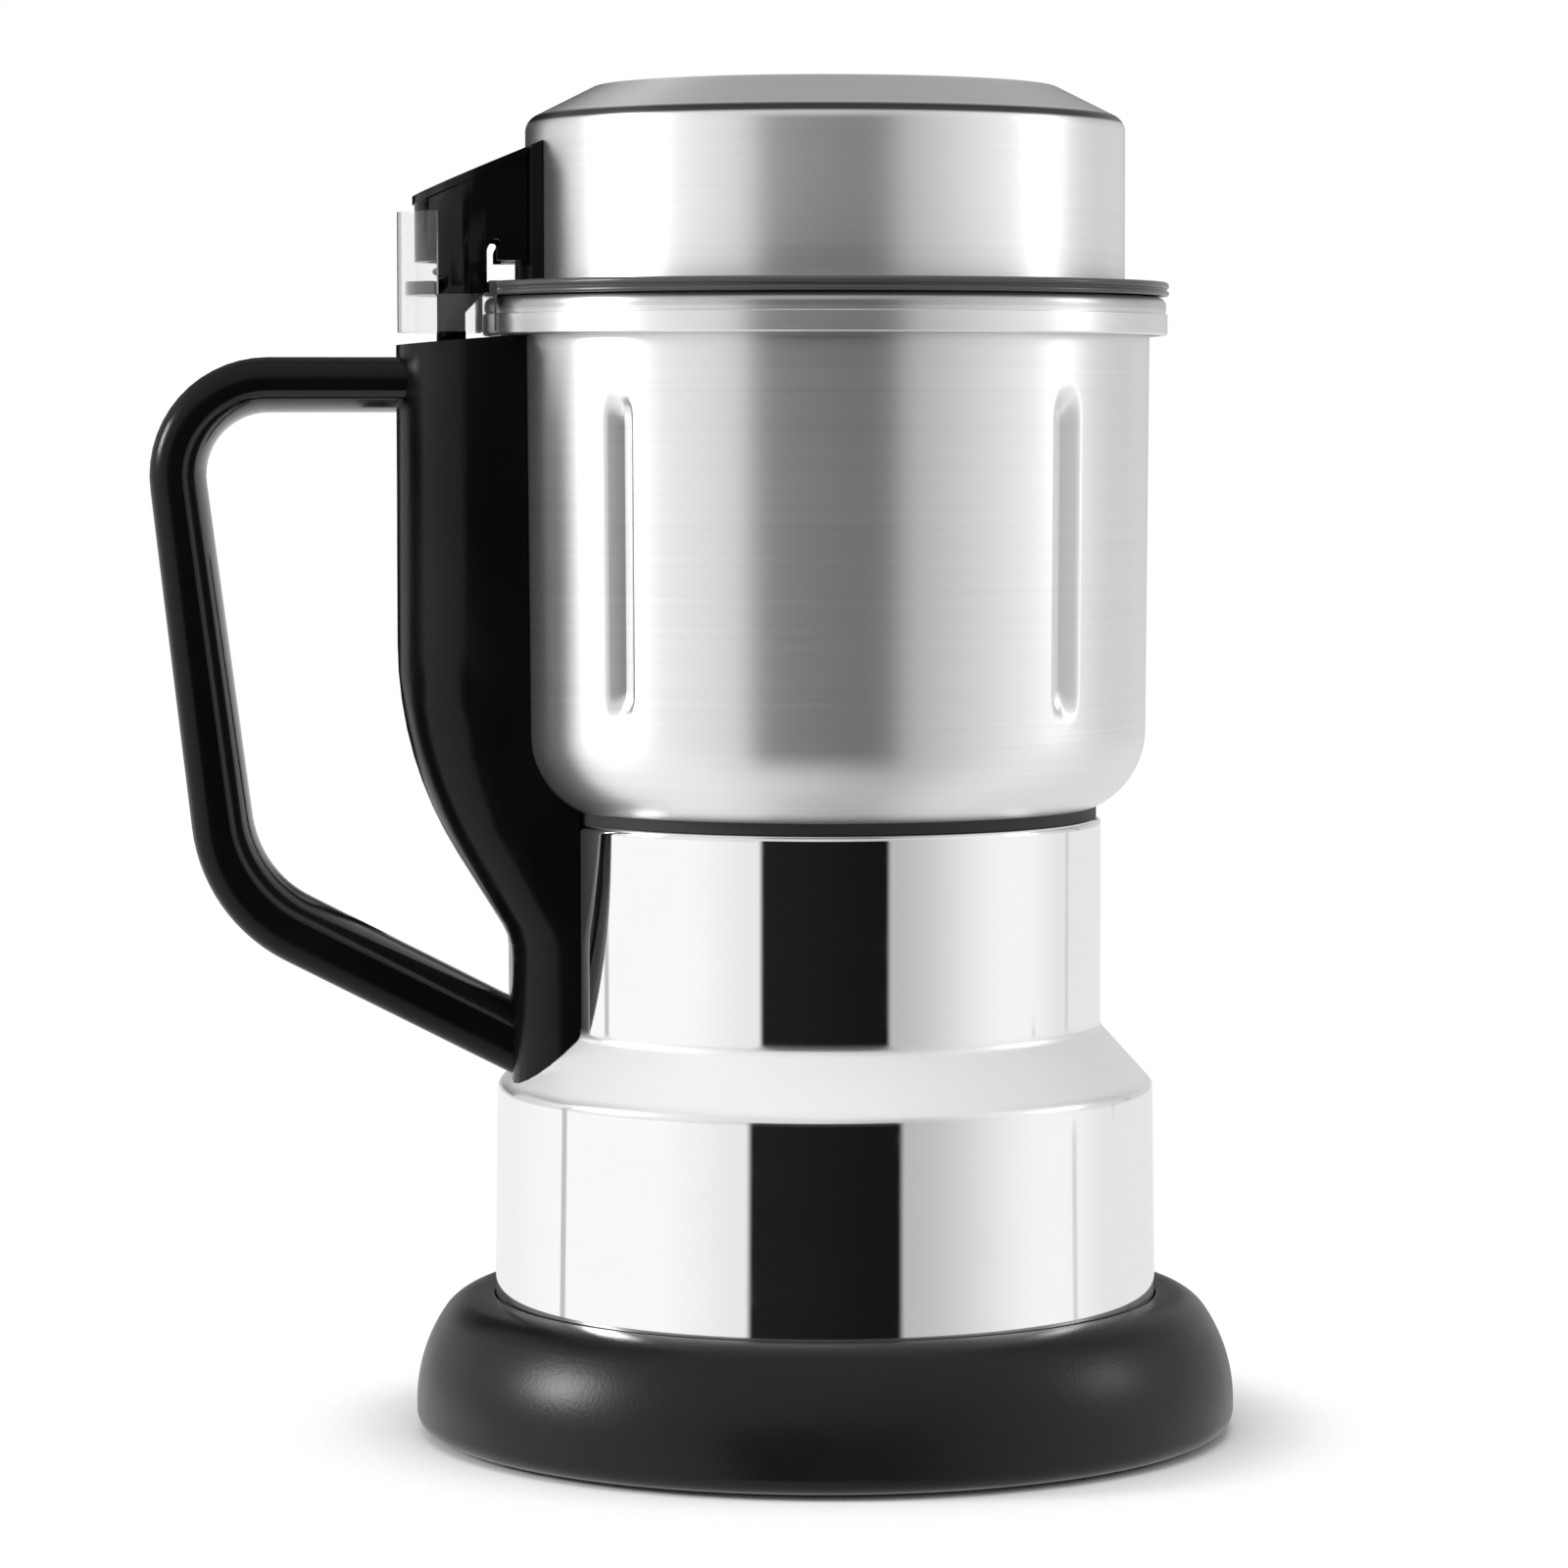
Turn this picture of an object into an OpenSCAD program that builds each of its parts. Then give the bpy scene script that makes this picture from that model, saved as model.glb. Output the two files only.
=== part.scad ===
// Electric spice grinder. A steel bowl sits fixed on a stepped steel motor housing, and a
// black column with a loop handle runs up beside both. The lid lifts off. Its press block
// is pushed down over the column, and two legs work the safety switch inside the column.
// Millimetres, Z up from the table. The handle points along -X and mirrors in the XZ plane.

/* [Base] */
// How far the skirt swells out beyond its crest
skirt_flare = 9.7; // [9.2:0.1:10.9]
// Height of the crest of the skirt above the table
base_h = 20.2; // [19.6:0.1:21.5]
// Width of the flat crest round the housing
crest_land = 1.8; // [1.5:0.1:2.7]
// Radius of the round over the crest
crest_round = 7; // [6:0.1:7.6]
// Height at which the skirt is widest
widest_z = 4.4; // [4:0.1:6]
// Radius of the round under the widest part
skirt_edge_round = 2.6; // [1.5:0.1:3]
// Wall thickness of the skirt
skirt_wall = 2.8; // [2.2:0.1:3.2]
// How far the rubber foot stands out below the skirt
foot_h = 0.6; // [0.4:0.1:1.2]
// Distance of the foot's middle in from the skirt's widest line
foot_inset = 6.3; // [6.1:0.1:6.7]
// Width of the rubber foot
foot_w = 4.4; // [3.6:0.1:4.8]
// Depth of the groove that holds the rubber foot
foot_groove = 1; // [0.6:0.1:1.2]
// Thickness of the bottom cover
cover_t = 2.6; // [2.2:0.1:3]
// Distance of the cover screws in from the housing's outside
cover_screw_inset = 1.7; // [1.3:0.1:2.3]
// Number of cover screws
cover_screw_count = 3; // [3:1:4]
// Number of air slots in the bottom cover
vent_count = 12; // [8:1:14]
// Radius of the bore of the cord gland
gland_bore_r = 3.6; // [3:0.1:4]
// Height of the cord gland above the table
gland_z = 9; // [8.6:0.1:9.6]

/* [Motor housing] */
// Outer radius of the housing where it meets the skirt
housing_r = 48.3; // [47.8:0.1:48.8]
// How much narrower the lower tier is under the shoulder
housing_taper = 0.45; // [0.1:0.05:0.8]
// How far the shoulder steps in to the upper tier
shoulder_w = 7.65; // [7.25:0.05:8.25]
// Sheet thickness of the housing
housing_wall = 1; // [0.8:0.1:1.2]
// Height of the lower tier above the crest of the skirt
lower_tier_h = 30.6; // [29.5:0.1:31.5]
// Rise of the sloped shoulder
shoulder_h = 8.4; // [7.6:0.1:9.2]
// Height of the upper tier above the shoulder
upper_tier_h = 30.5; // [29.9:0.1:31.9]
// Round of the two shoulder edges
shoulder_round = 2; // [1:0.1:2.4]
// How deep the housing stands in the skirt
housing_sink = 3.4; // [2.6:0.1:3.8]

/* [Bowl] */
// Outer radius of the bowl under the rim
bowl_r = 47; // [46.7:0.1:47.3]
// How much narrower the bowl is at the foot of its wall
bowl_taper = 0.4; // [0:0.1:0.6]
// Height from the bowl's underside to the underside of the rim
bowl_h = 69.2; // [68:0.2:71]
// Sheet thickness of the bowl
bowl_wall = 0.9; // [0.7:0.1:1]
// Outer radius of the round between floor and wall
bowl_corner_r = 12.2; // [11.6:0.1:13]
// How far the rolled rim stands out from the bowl's wall
rim_w = 2.6; // [2.4:0.1:2.8]
// Height of the straight band of the rim
rim_band_h = 3.1; // [2.8:0.1:4]
// Height of the rounded lip above the band
rim_lip_h = 2.4; // [2:0.1:2.6]
// Thickness of the gasket between bowl and housing
gasket_t = 0.5; // [0.4:0.1:1]
// Number of pressed flutes
flute_count = 4; // [4:1:4]
// Width of a flute
flute_w = 9.2; // [8:0.1:10]
// Depth of a flute
flute_depth = 1.5; // [1:0.1:1.6]
// Length of a flute
flute_len = 45; // [42:0.5:47]
// Height of the middle of a flute above the bowl's underside
flute_mid = 39.2; // [38.6:0.1:39.8]
// Angle by which each flute is turned towards the front and back lines, in degrees
flute_shift = 3.2; // [0:0.2:3.6]

/* [Lid] */
// Distance of the lid's wall in from the bowl's inside
lid_inset = 2.7; // [2.6:0.1:3.2]
// Height of the lid's straight wall above the flange
lid_wall_h = 23.2; // [22.5:0.1:24.5]
// Height of the domed top above the wall
dome_h = 5.6; // [5:0.1:6.2]
// Width of the slope round the flat dome
dome_inset = 10; // [8:0.2:11.6]
// Rise of the nearly flat middle of the dome
dome_crown = 0.6; // [0.2:0.1:1.2]
// Round of the edge between the lid's wall and its slope
lid_edge_round = 2.6; // [1.5:0.1:3]
// Sheet thickness of the lid
lid_sheet = 0.8; // [0.6:0.1:1]
// How far the lid's flange stands out past the rim
flange_over = 0.2; // [0:0.1:0.4]
// Thickness of the lid's flange
flange_t = 2; // [1.8:0.1:2.4]
// Wall thickness of the liner inside the lid
liner_wall = 1.5; // [1.2:0.1:1.8]
// How deep the liner and the collar's spigot stand in the bowl
spigot_h = 6.4; // [5:0.1:7]
// Gap between the seated lid and the bowl's rim
lid_seat_gap = 0.15; // [0.1:0.05:0.3]
// Gap between the lid's seal and the bowl
seal_gap = 0.35; // [0.3:0.05:0.5]

/* [Column] */
// How far the column's back stands out from the rim
column_out = 12.5; // [12.1:0.1:12.9]
// Width of the column
column_w = 34; // [33:0.2:35]
// Round of the column's two back edges
column_round = 13; // [12.4:0.1:13.4]
// Wall thickness of the column
column_wall = 2.2; // [2:0.1:2.4]
// Depth below the rim's underside at which the back starts to bend in
bend_drop = 44.8; // [43.4:0.2:46.4]
// Radius of that bend
bend_r = 56.3; // [54:0.2:58]
// Angle of that bend
bend_angle = 32; // [31:0.5:33]
// Radius of the hollow where the slope runs out into the foot
ankle_r = 9; // [6:0.5:14]
// How far the column's foot stands out from the upper tier
foot_out = 5.8; // [5.6:0.1:6.2]
// Round of the foot's two back edges
foot_round = 9; // [8:0.1:10]
// Height of the column's top above the rim's underside, at its back
column_top = -1.4; // [-1.8:0.1:-1.2]
// Slope of the column's top, in degrees
top_slope = 4.5; // [3:0.5:5]
// Thickness of the column's top
column_top_t = 2.4; // [2:0.1:2.8]

/* [Loop handle] */
// Thickness of the loop's upper bar
loop_top_t = 7.9; // [7.4:0.1:8.6]
// Thickness of the loop's lower bar
loop_low_t = 9.4; // [8.6:0.1:9.8]
// Width of the loop
loop_w = 20; // [18:0.2:22]
// Distance of the loop's upper corner from the column's back
loop_top_out = 33; // [31:0.2:35]
// Depth of the upper bar's middle below the column's top
loop_top_drop = 5.7; // [5:0.1:7.5]
// Distance of the loop's lower corner from the column's back
loop_low_out = 24; // [22:0.2:26]
// Height of the loop's lower corner above its lower end
loop_low_rise = 20.6; // [19:0.2:22.6]
// Height of the loop's lower end above the shoulder's outer edge
loop_end_rise = 7.4; // [7:0.1:8.6]
// Middle radius of the upper corner
loop_top_bend = 11.3; // [10:0.1:13]
// Middle radius of the lower corner
loop_low_bend = 20; // [17:0.2:23]
// Share of the thickness that the inner strip takes
strip_t = 3.3; // [3:0.1:3.6]
// Wall thickness of the loop's channel
channel_wall = 2.2; // [1.8:0.1:2.6]

/* [Press block] */
// Width of the press block
block_w = 24.8; // [24:0.1:25.4]
// How far the block's outer end stays inside the column's back
block_setback = 2.7; // [2.4:0.1:3]
// Round of the block's outer edges
block_round = 11.5; // [11:0.1:11.9]
// Height of the block above its lowest edge, at the outer end
block_end_h = 9.5; // [9:0.1:10.2]
// Slope of the block's roof, in degrees
roof_slope = 22.5; // [21:0.5:24]
// Thickness of the block's roof
roof_t = 1.1; // [1:0.1:1.6]
// How far the roof stands out past the block's sides
roof_eave = 0.3; // [0.2:0.1:0.8]
// Wall thickness of the block
block_wall = 1.8; // [1.6:0.1:2]
// Travel of the press block
press_travel = 1.9; // [1.5:0.1:2.1]
// Gap that is left under the block when it is pressed
block_lift = 1; // [0.5:0.1:1.2]
// Thickness of a leg below the tail plate, along X
leg_t = 3.9; // [3.7:0.1:4.2]
// Thickness of a leg where it joins the block, along X
leg_root_t = 6.9; // [6.4:0.1:7.1]
// Half the gap between the two legs
leg_gap = 5.6; // [5.3:0.1:5.9]
// Thickness of the tail plate of the lid's collar
tail_t = 1.9; // [1.7:0.1:2.1]
// Wall thickness of the clear guard round the block
guard_t = 1.1; // [0.9:0.1:1.2]
// Gap between guard and block
guard_gap = 1.4; // [1.2:0.1:1.6]
// Height of the guard above the tail plate
guard_up = 10; // [9:0.1:10.4]
// Depth of the guard below the tail plate
guard_down = 5.3; // [4.8:0.1:5.4]

/* [Safety switch] */
// Height of the plunger's head
head_h = 2.9; // [2.4:0.1:3.2]
// Radius of the plunger's stem
stem_r = 2.2; // [1.9:0.1:2.4]
// Length of the plunger's stem
stem_len = 11.6; // [11.2:0.1:12.2]
// Length of the switch body, along Y
switch_len = 19.8; // [18.6:0.1:20.2]
// Thickness of the switch body, along X
switch_t = 6.4; // [6:0.1:6.6]
// Height of the switch body
switch_h = 10.6; // [10.2:0.1:11]
// Gap between the switch body and the inside of the column's back
switch_back_gap = 2.5; // [2.3:0.1:2.7]
// Radius of the switch pin
switch_pin_r = 1.2; // [1:0.1:1.4]
// Radius of a switch lead
lead_r = 0.9; // [0.7:0.1:1]

/* [Motor] */
// Radius of the motor shaft
shaft_r = 3; // [2.7:0.1:3.2]
// Radius of the rotor core
rotor_r = 15.6; // [15:0.1:15.9]
// Height of the stack of stator and rotor sheets
stack_h = 20; // [18:0.5:21]
// Air gap between rotor and stator
air_gap = 0.5; // [0.4:0.1:0.8]
// Width of the stator, along X
stator_w = 54; // [53:0.5:55]
// Thickness of a field coil, along Y
coil_t = 5.4; // [4.9:0.1:5.9]
// Width of the stator's yoke
yoke_w = 6; // [5.6:0.1:6.2]
// Number of rotor slots and commutator bars
slot_count = 12; // [10:1:14]
// Radius of the commutator
commutator_r = 9.5; // [9:0.1:10]
// Length of the commutator
commutator_h = 9.5; // [9:0.1:9.8]
// Radius of the cooling fan
fan_r = 20; // [18:0.2:20.2]
// Number of fan blades
fan_blades = 9; // [7:1:11]
// Side of the square carbon brush
brush_w = 5; // [4.6:0.1:5.2]
// Length of a brush holder
holder_len = 14; // [12.5:0.5:15]
// Radius of the bearing bushes
bearing_r = 5.5; // [5.2:0.1:6]
// Running clearance of the shaft in its bearings
run_gap = 0.05; // [0.02:0.01:0.08]

/* [Blades] */
// Reach of a blade's tip from the axis
blade_reach = 37; // [34:0.2:39]
// Width of a blade at its root
blade_w = 13; // [12.4:0.1:14]
// Thickness of a blade
blade_t = 1.5; // [1.2:0.1:1.8]
// Upward or downward bend of the blade tips, in degrees
tip_bend = 24; // [18:1:28]
// Height of the blades above the bowl's floor
blade_lift = 10.7; // [10.2:0.1:11.6]

/* [Hidden] */
$fn = 64;
eps = 0.01;
far = 200;
seat_gap = 0.1;       // between fixed pieces with curved faces that seat on each other
free_gap = 0.3;       // between pieces that move past each other
fit_gap = 0.02;       // between pieces pressed or screwed together

// Radii that follow from others, from the housing outwards and up
low_top_r = housing_r - housing_taper;
neck_r = low_top_r - shoulder_w;
crest_r = housing_r + crest_land;
base_r = crest_r + skirt_flare;
foot_r = base_r - foot_inset;
cover_screw_ring_r = housing_r - cover_screw_inset;
bowl_foot_r = bowl_r - bowl_taper;
bowl_in_r = bowl_r - bowl_wall;
rim_r = bowl_r + rim_w;
flange_r = rim_r + flange_over;
lid_r = bowl_in_r - lid_inset;
dome_r = lid_r - dome_inset;
liner_r = lid_r - lid_sheet - seat_gap;
flute_cut_r = (flute_w * flute_w / 4 + flute_depth * flute_depth) / (2 * flute_depth);
flute_axis_r = bowl_r + flute_cut_r - flute_depth - bowl_taper / 2;
gasket_r = neck_r - 0.7;
seal_r = 9;

// Heights of the stack
skirt_bottom_z = foot_h;
cover_bottom_z = foot_h + 0.6;
cover_top_z = cover_bottom_z + cover_t;
housing_bottom_z = base_h - housing_sink;
shoulder_z = base_h + lower_tier_h;
shoulder_top_z = shoulder_z + shoulder_h;
shoulder_angle = atan2(shoulder_h, shoulder_w);
housing_top_z = shoulder_top_z + upper_tier_h;
housing_ceiling_z = housing_top_z - housing_wall;
bowl_bottom_z = housing_top_z + gasket_t;
bowl_floor_z = bowl_bottom_z + bowl_wall;
rim_z = bowl_bottom_z + bowl_h;
rim_top_z = rim_z + rim_band_h + rim_lip_h;
flange_z = rim_top_z + lid_seat_gap;
flange_top_z = flange_z + flange_t;
lid_wall_top_z = flange_top_z + lid_wall_h;
lid_top_z = lid_wall_top_z + dome_h;

// Blades and shaft
blade_z = bowl_floor_z + blade_lift;
hub_h = 4.2;
nut_h = 4;
shaft_step_z = blade_z - 2;
shaft_tip_r = shaft_r - 0.5;
shaft_bottom_z = housing_bottom_z + 0.6;

// Motor, measured from the housing's ceiling down
mount_t = 2;
bracket_t = 3;
bracket_top_z = housing_ceiling_z - mount_t - 2;
bracket_r = 32;
bracket_screw_r = 26;
bracket_screw_angles = [90, 210, 330];
bearing_hub_r = 9;
upper_bearing_z = housing_ceiling_z - 8.4;
upper_bearing_h = 7.6;
stack_top_z = bracket_top_z - bracket_t - 8.6;
stack_z = stack_top_z - stack_h;
end_turn_h = 7;
pole_shoe_t = 2.9;
coil_gap = 0.3;
stator_half_d = rotor_r + air_gap + pole_shoe_t + coil_t + 2 * coil_gap + yoke_w;
stator_corner_r = neck_r - housing_wall - 2.2;
bolt_x = (stator_w - yoke_w) / 2;
bolt_r = 1.6;
commutator_z = stack_z - 6.5 - commutator_h;
lower_bearing_z = housing_bottom_z + 2;
lower_bearing_h = 6;
lower_bracket_z = lower_bearing_z - 0.5;
lower_bracket_t = 4;
fan_z = lower_bearing_z + lower_bearing_h + 1.5;
fan_h = 6.4;
brush_z = commutator_z + commutator_h / 2;
holder_wall = 0.8;
holder_in_y = commutator_r + 1;
card_z = commutator_z + commutator_h + 0.3;
card_t = 2;
screw_head_r = 3.2;
screw_shank_r = 1.7;
column_screw_zs = [shoulder_top_z + 7, housing_top_z - 7.7];
column_screw_y = 7.5;

// Column
column_half = column_w / 2;
column_reach = rim_r + column_out;
foot_reach = neck_r + foot_out;
bend_z = rim_z - bend_drop;
slope_z = bend_z - bend_r * sin(bend_angle);
slope_reach = column_reach - bend_r * (1 - cos(bend_angle));
ankle_reach = foot_reach + ankle_r * (1 - cos(bend_angle));
ankle_top_z = slope_z - (slope_reach - ankle_reach) / tan(bend_angle);
ankle_z = ankle_top_z - ankle_r * sin(bend_angle);
column_foot_z = shoulder_z - 1;
column_front_x = -28;
column_top_z = rim_z + column_top;
column_under_z = column_top_z - column_top_t;
shelf_t = 1.4;
head_top_z = column_under_z - free_gap;
head_z = head_top_z - head_h;
stem_z = head_z - stem_len;
shelf_z = stem_z + press_travel + 1.1;
switch_top_z = stem_z - free_gap - free_gap - press_travel;
switch_z = switch_top_z - switch_h;
lead_y = 2.4;
lead_hole_z = shoulder_top_z + 5.6;

// Press block and the parts of the lid round it
block_reach = column_reach - block_setback;
leg_x = column_reach - column_wall - switch_back_gap - switch_t / 2;
tail_top_z = flange_top_z;
tail_z = tail_top_z - tail_t;
block_z = tail_top_z + press_travel + block_lift;
guide_r = lid_r + seat_gap;
guide_t = 1.45;
block_in_r = guide_r + guide_t + free_gap;
guard_reach = block_reach + guard_gap + guard_t;
guard_half = block_w / 2 + guard_gap + guard_t;
leg_inner_x = leg_x - leg_t / 2;
leg_outer_x = leg_x + leg_t / 2;
leg_end_z = column_under_z;
rail_neck = 2;
rail_head = 4;
rail_head_t = 1.5;
rail_depth = block_wall + 2 * free_gap;
rail_z = block_z + 3.6;
rail_top_z = block_z + 9;
spring_boss_r = 1.4;
slot_w = 1.4;
slot_h = 3;
spring_wire = 0.35;
press_spring_r = block_reach - block_wall - leg_x - spring_wire - 0.65;

// Loop handle path: entry, two corners and end, as points in the XZ plane
loop_top_z = column_top_z - loop_top_drop;
loop_end_z = shoulder_z + loop_end_rise;
loop_path = [
    [-(column_reach - column_round), loop_top_z],
    [-(column_reach + loop_top_out), loop_top_z],
    [-(column_reach + loop_low_out), loop_end_z + loop_low_rise],
    [-(foot_reach - foot_round), loop_end_z - foot_round / 2]
];
loop_bends = [0, loop_top_bend, loop_low_bend, 0];
loop_thick = [loop_top_t, loop_top_t, loop_low_t, loop_low_t];

// ---------------------------------------------------------------- helpers

function unit(v) = v / norm(v);

// Points of an arc of radius r that rounds the corner at b between a and c
function corner_arc(a, b, c, r, n) = r <= 0 ? [b] :
    let (u = unit(a - b), v = unit(c - b), half = acos(u * v) / 2,
         centre = b + unit(u + v) * r / sin(half),
         p = b + u * r / tan(half) - centre, q = b + v * r / tan(half) - centre,
         start = atan2(p[1], p[0]), sweep = (atan2(q[1], q[0]) - start + 540) % 360 - 180)
    [for (i = [0:n]) centre + r * [cos(start + sweep * i / n), sin(start + sweep * i / n)]];

// A closed outline with each corner rounded by its own radius
function rounded(points, radii, n = 6) = let (count = len(points))
    [for (i = [0:count - 1]) each corner_arc(points[(i + count - 1) % count], points[i],
                                             points[(i + 1) % count], radii[i], n)];

module disc(r, z0, z1) {
    translate([0, 0, z0]) cylinder(r = r, h = z1 - z0);
}

module ring(r_out, r_in, z0, z1) {
    difference() {
        disc(r_out, z0, z1);
        disc(r_in, z0 - eps, z1 + eps);
    }
}

// A box given by its lowest and highest corner
module box(low, high) {
    translate(low) cube(high - low);
}

// Children at each angle round the axis
module around(angles) {
    for (a = angles) rotate([0, 0, a]) children();
}

// A straight round rod from a to b with a ball at b
module rod(a, b, r) {
    d = b - a;
    translate(a) rotate([0, acos(d[2] / norm(d)), atan2(d[1], d[0])]) cylinder(r = r, h = norm(d));
    translate(b) sphere(r = r + 0.08, $fn = 24);
}

// A pan-head screw whose shank points down from the underside of its head at z = 0
module pan_screw(head_r, head_h, shank_r, shank_len) {
    difference() {
        union() {
            rotate_extrude()
                polygon(rounded([[0, 0], [head_r, 0], [head_r, head_h], [0, head_h]],
                                [0, 0, head_h * 0.6, 0], 4));
            translate([0, 0, -shank_len]) cylinder(r = shank_r, h = shank_len + eps);
        }
        for (a = [0, 90]) rotate([0, 0, a])
            box([-head_r * 0.6, -0.4, head_h - 0.8], [head_r * 0.6, 0.4, head_h + 1]);
    }
}

// A round-wire compression spring between two heights
module coil_spring(r, wire, z0, z1, turns, sides = 6, steps = 14) {
    count = turns * steps;
    bottom = z0 + wire;
    rise = z1 - z0 - 2 * wire;
    points = [for (i = [0:count]) for (j = [0:sides - 1])
        let (turn = 360 * i / steps, tip = 360 * j / sides, reach = r + wire * cos(tip))
        [reach * cos(turn), reach * sin(turn), bottom + rise * i / count + wire * sin(tip)]];
    skin = [for (i = [0:count - 1]) for (j = [0:sides - 1])
        let (a = i * sides, k = (j + 1) % sides) [a + j, a + k, a + sides + k, a + sides + j]];
    start = [[for (j = [sides - 1:-1:0]) j]];
    end = [[for (j = [0:sides - 1]) count * sides + j]];
    polyhedron(points = points, faces = concat(skin, start, end));
}

// A closed skin over a row of outlines that all have the same number of points
module loft(rows) {
    count = len(rows);
    sides = len(rows[0]);
    skin = [for (i = [0:count - 2]) for (j = [0:sides - 1])
        let (a = i * sides, k = (j + 1) % sides)
        each [[a + j, a + k, a + sides + k], [a + j, a + sides + k, a + sides + j]]];
    start = [[for (j = [sides - 1:-1:0]) j]];
    end = [[for (j = [0:sides - 1]) (count - 1) * sides + j]];
    polyhedron(points = [for (row = rows) each row], faces = concat(skin, start, end));
}

// ---------------------------------------------------------------- base

// Outline of the skirt's outside: a small arc over the crest runs into a large arc
module skirt_outline() {
    a = base_r - crest_r;
    rise = base_h - crest_round - widest_z;
    flank_r = (a * a + rise * rise - crest_round * crest_round) / (2 * (a - crest_round));
    flank_x = base_r - flank_r;
    turn = atan2(rise, crest_r - flank_x);
    join = [flank_x + flank_r * cos(turn), widest_z + flank_r * sin(turn)];
    translate([crest_r, base_h - crest_round]) circle(r = crest_round);
    intersection() {
        translate([flank_x, widest_z]) circle(r = flank_r);
        polygon([[flank_x, widest_z], [base_r + 5, widest_z],
                 [base_r + 5, widest_z + (base_r + 5 - flank_x) * tan(turn)]]);
    }
    polygon([[flank_x, widest_z], join, [crest_r, base_h - crest_round], [crest_r, base_h],
             [housing_r - 4, base_h - 0.3], [housing_r - 4, widest_z]]);
    polygon([[flank_x - 6, skirt_bottom_z], [base_r - skirt_edge_round, skirt_bottom_z],
             [base_r - skirt_edge_round, skirt_bottom_z + skirt_edge_round],
             [base_r, skirt_bottom_z + skirt_edge_round], [base_r, widest_z],
             [flank_x - 6, widest_z]]);
    translate([base_r - skirt_edge_round, skirt_bottom_z + skirt_edge_round])
        circle(r = skirt_edge_round);
}

// Inside of the skirt, with the ledge that carries the housing
module skirt_cavity_outline() {
    ledge_r = housing_r - 3.4;
    ledge_z = housing_bottom_z - 2;
    polygon([[0, -1], [base_r - skirt_wall, -1], [base_r - skirt_wall, widest_z + 2],
             [crest_r + 1, ledge_z - 0.4], [crest_r - 0.4, ledge_z], [ledge_r, ledge_z],
             [ledge_r, housing_bottom_z], [housing_r + seat_gap, housing_bottom_z],
             [housing_r + seat_gap, base_h + 1], [0, base_h + 1]]);
}

module gland_place() {
    translate([0, base_r - skirt_wall, gland_z]) rotate([-90, 0, 0]) children();
}

gland_r = gland_bore_r + 1.4;
gland_flange_r = gland_r + 1.8;
gland_lip_r = gland_r + 0.9;
gland_lip_in = 4;

// Room for the gland: its hole, the seat of its flange and the flat behind its inner lip
module gland_room() {
    gland_place() {
        translate([0, 0, -8]) cylinder(r = gland_r + seat_gap, h = 20);
        translate([0, 0, 1]) cylinder(r = gland_flange_r + seat_gap, h = 12);
        translate([0, 0, -8]) cylinder(r = gland_lip_r + seat_gap, h = 8 - gland_lip_in);
    }
}

cover_screw_angles = [for (i = [0:cover_screw_count - 1]) 30 + 360 * i / cover_screw_count];
cover_screw_z = cover_bottom_z + 1.2;
cover_screw_end_z = housing_bottom_z - 5.4;
cover_screw_len = cover_screw_end_z - cover_screw_z;

module base_skirt() {
    color([0.12, 0.12, 0.13]) difference() {
        union() {
            rotate_extrude() difference() {
                skirt_outline();
                skirt_cavity_outline();
            }
            around(cover_screw_angles) translate([cover_screw_ring_r, 0, 0])
                disc(3.6, cover_top_z, housing_bottom_z - 1.9);
        }
        around(cover_screw_angles) translate([cover_screw_ring_r, 0, 0])
            disc(screw_shank_r + fit_gap, 0, cover_screw_end_z + 1.4);
        gland_room();
    }
}

module bottom_cover() {
    cover_r = base_r - skirt_wall - seat_gap;
    color([0.1, 0.1, 0.1]) difference() {
        union() {
            disc(cover_r, cover_bottom_z, cover_top_z);
            ring(16, 14.5, cover_top_z - eps, cover_top_z + 3);
        }
        ring(foot_r + foot_w / 2 + fit_gap, foot_r - foot_w / 2 - fit_gap,
             cover_bottom_z - 1, cover_bottom_z + foot_groove);
        around([for (i = [0:vent_count - 1]) 360 * (i + 0.5) / vent_count])
            box([20, -1.4, 0], [38, 1.4, cover_top_z + 1]);
        around(cover_screw_angles) translate([cover_screw_ring_r, 0, 0]) {
            disc(screw_shank_r + 0.3, 0, cover_top_z + 1);
            disc(screw_head_r + 0.2, 0, cover_screw_z);
        }
        gland_room();
    }
}

module foot_ring() {
    color([0.05, 0.05, 0.05])
        ring(foot_r + foot_w / 2, foot_r - foot_w / 2, 0, cover_bottom_z + foot_groove);
}

module cover_screws() {
    color([0.7, 0.7, 0.72]) around(cover_screw_angles)
        translate([cover_screw_ring_r, 0, cover_screw_z]) rotate([180, 0, 0])
            pan_screw(screw_head_r, 1.1, screw_shank_r, cover_screw_len);
}

module cord_gland() {
    color([0.05, 0.05, 0.05]) gland_place() difference() {
        union() {
            translate([0, 0, -gland_lip_in]) cylinder(r = gland_r, h = 6);
            translate([0, 0, 1.1]) rotate_extrude()
                polygon(rounded([[0, 0], [gland_flange_r, 0], [gland_flange_r, 2.6], [0, 2.6]],
                                [0, 0, 1, 0], 4));
            translate([0, 0, -gland_lip_in - 1.4]) cylinder(r = gland_lip_r, h = 1.4);
        }
        translate([0, 0, -far / 2]) cylinder(r = gland_bore_r, h = far);
    }
}

// ---------------------------------------------------------------- housing and bowl

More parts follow.
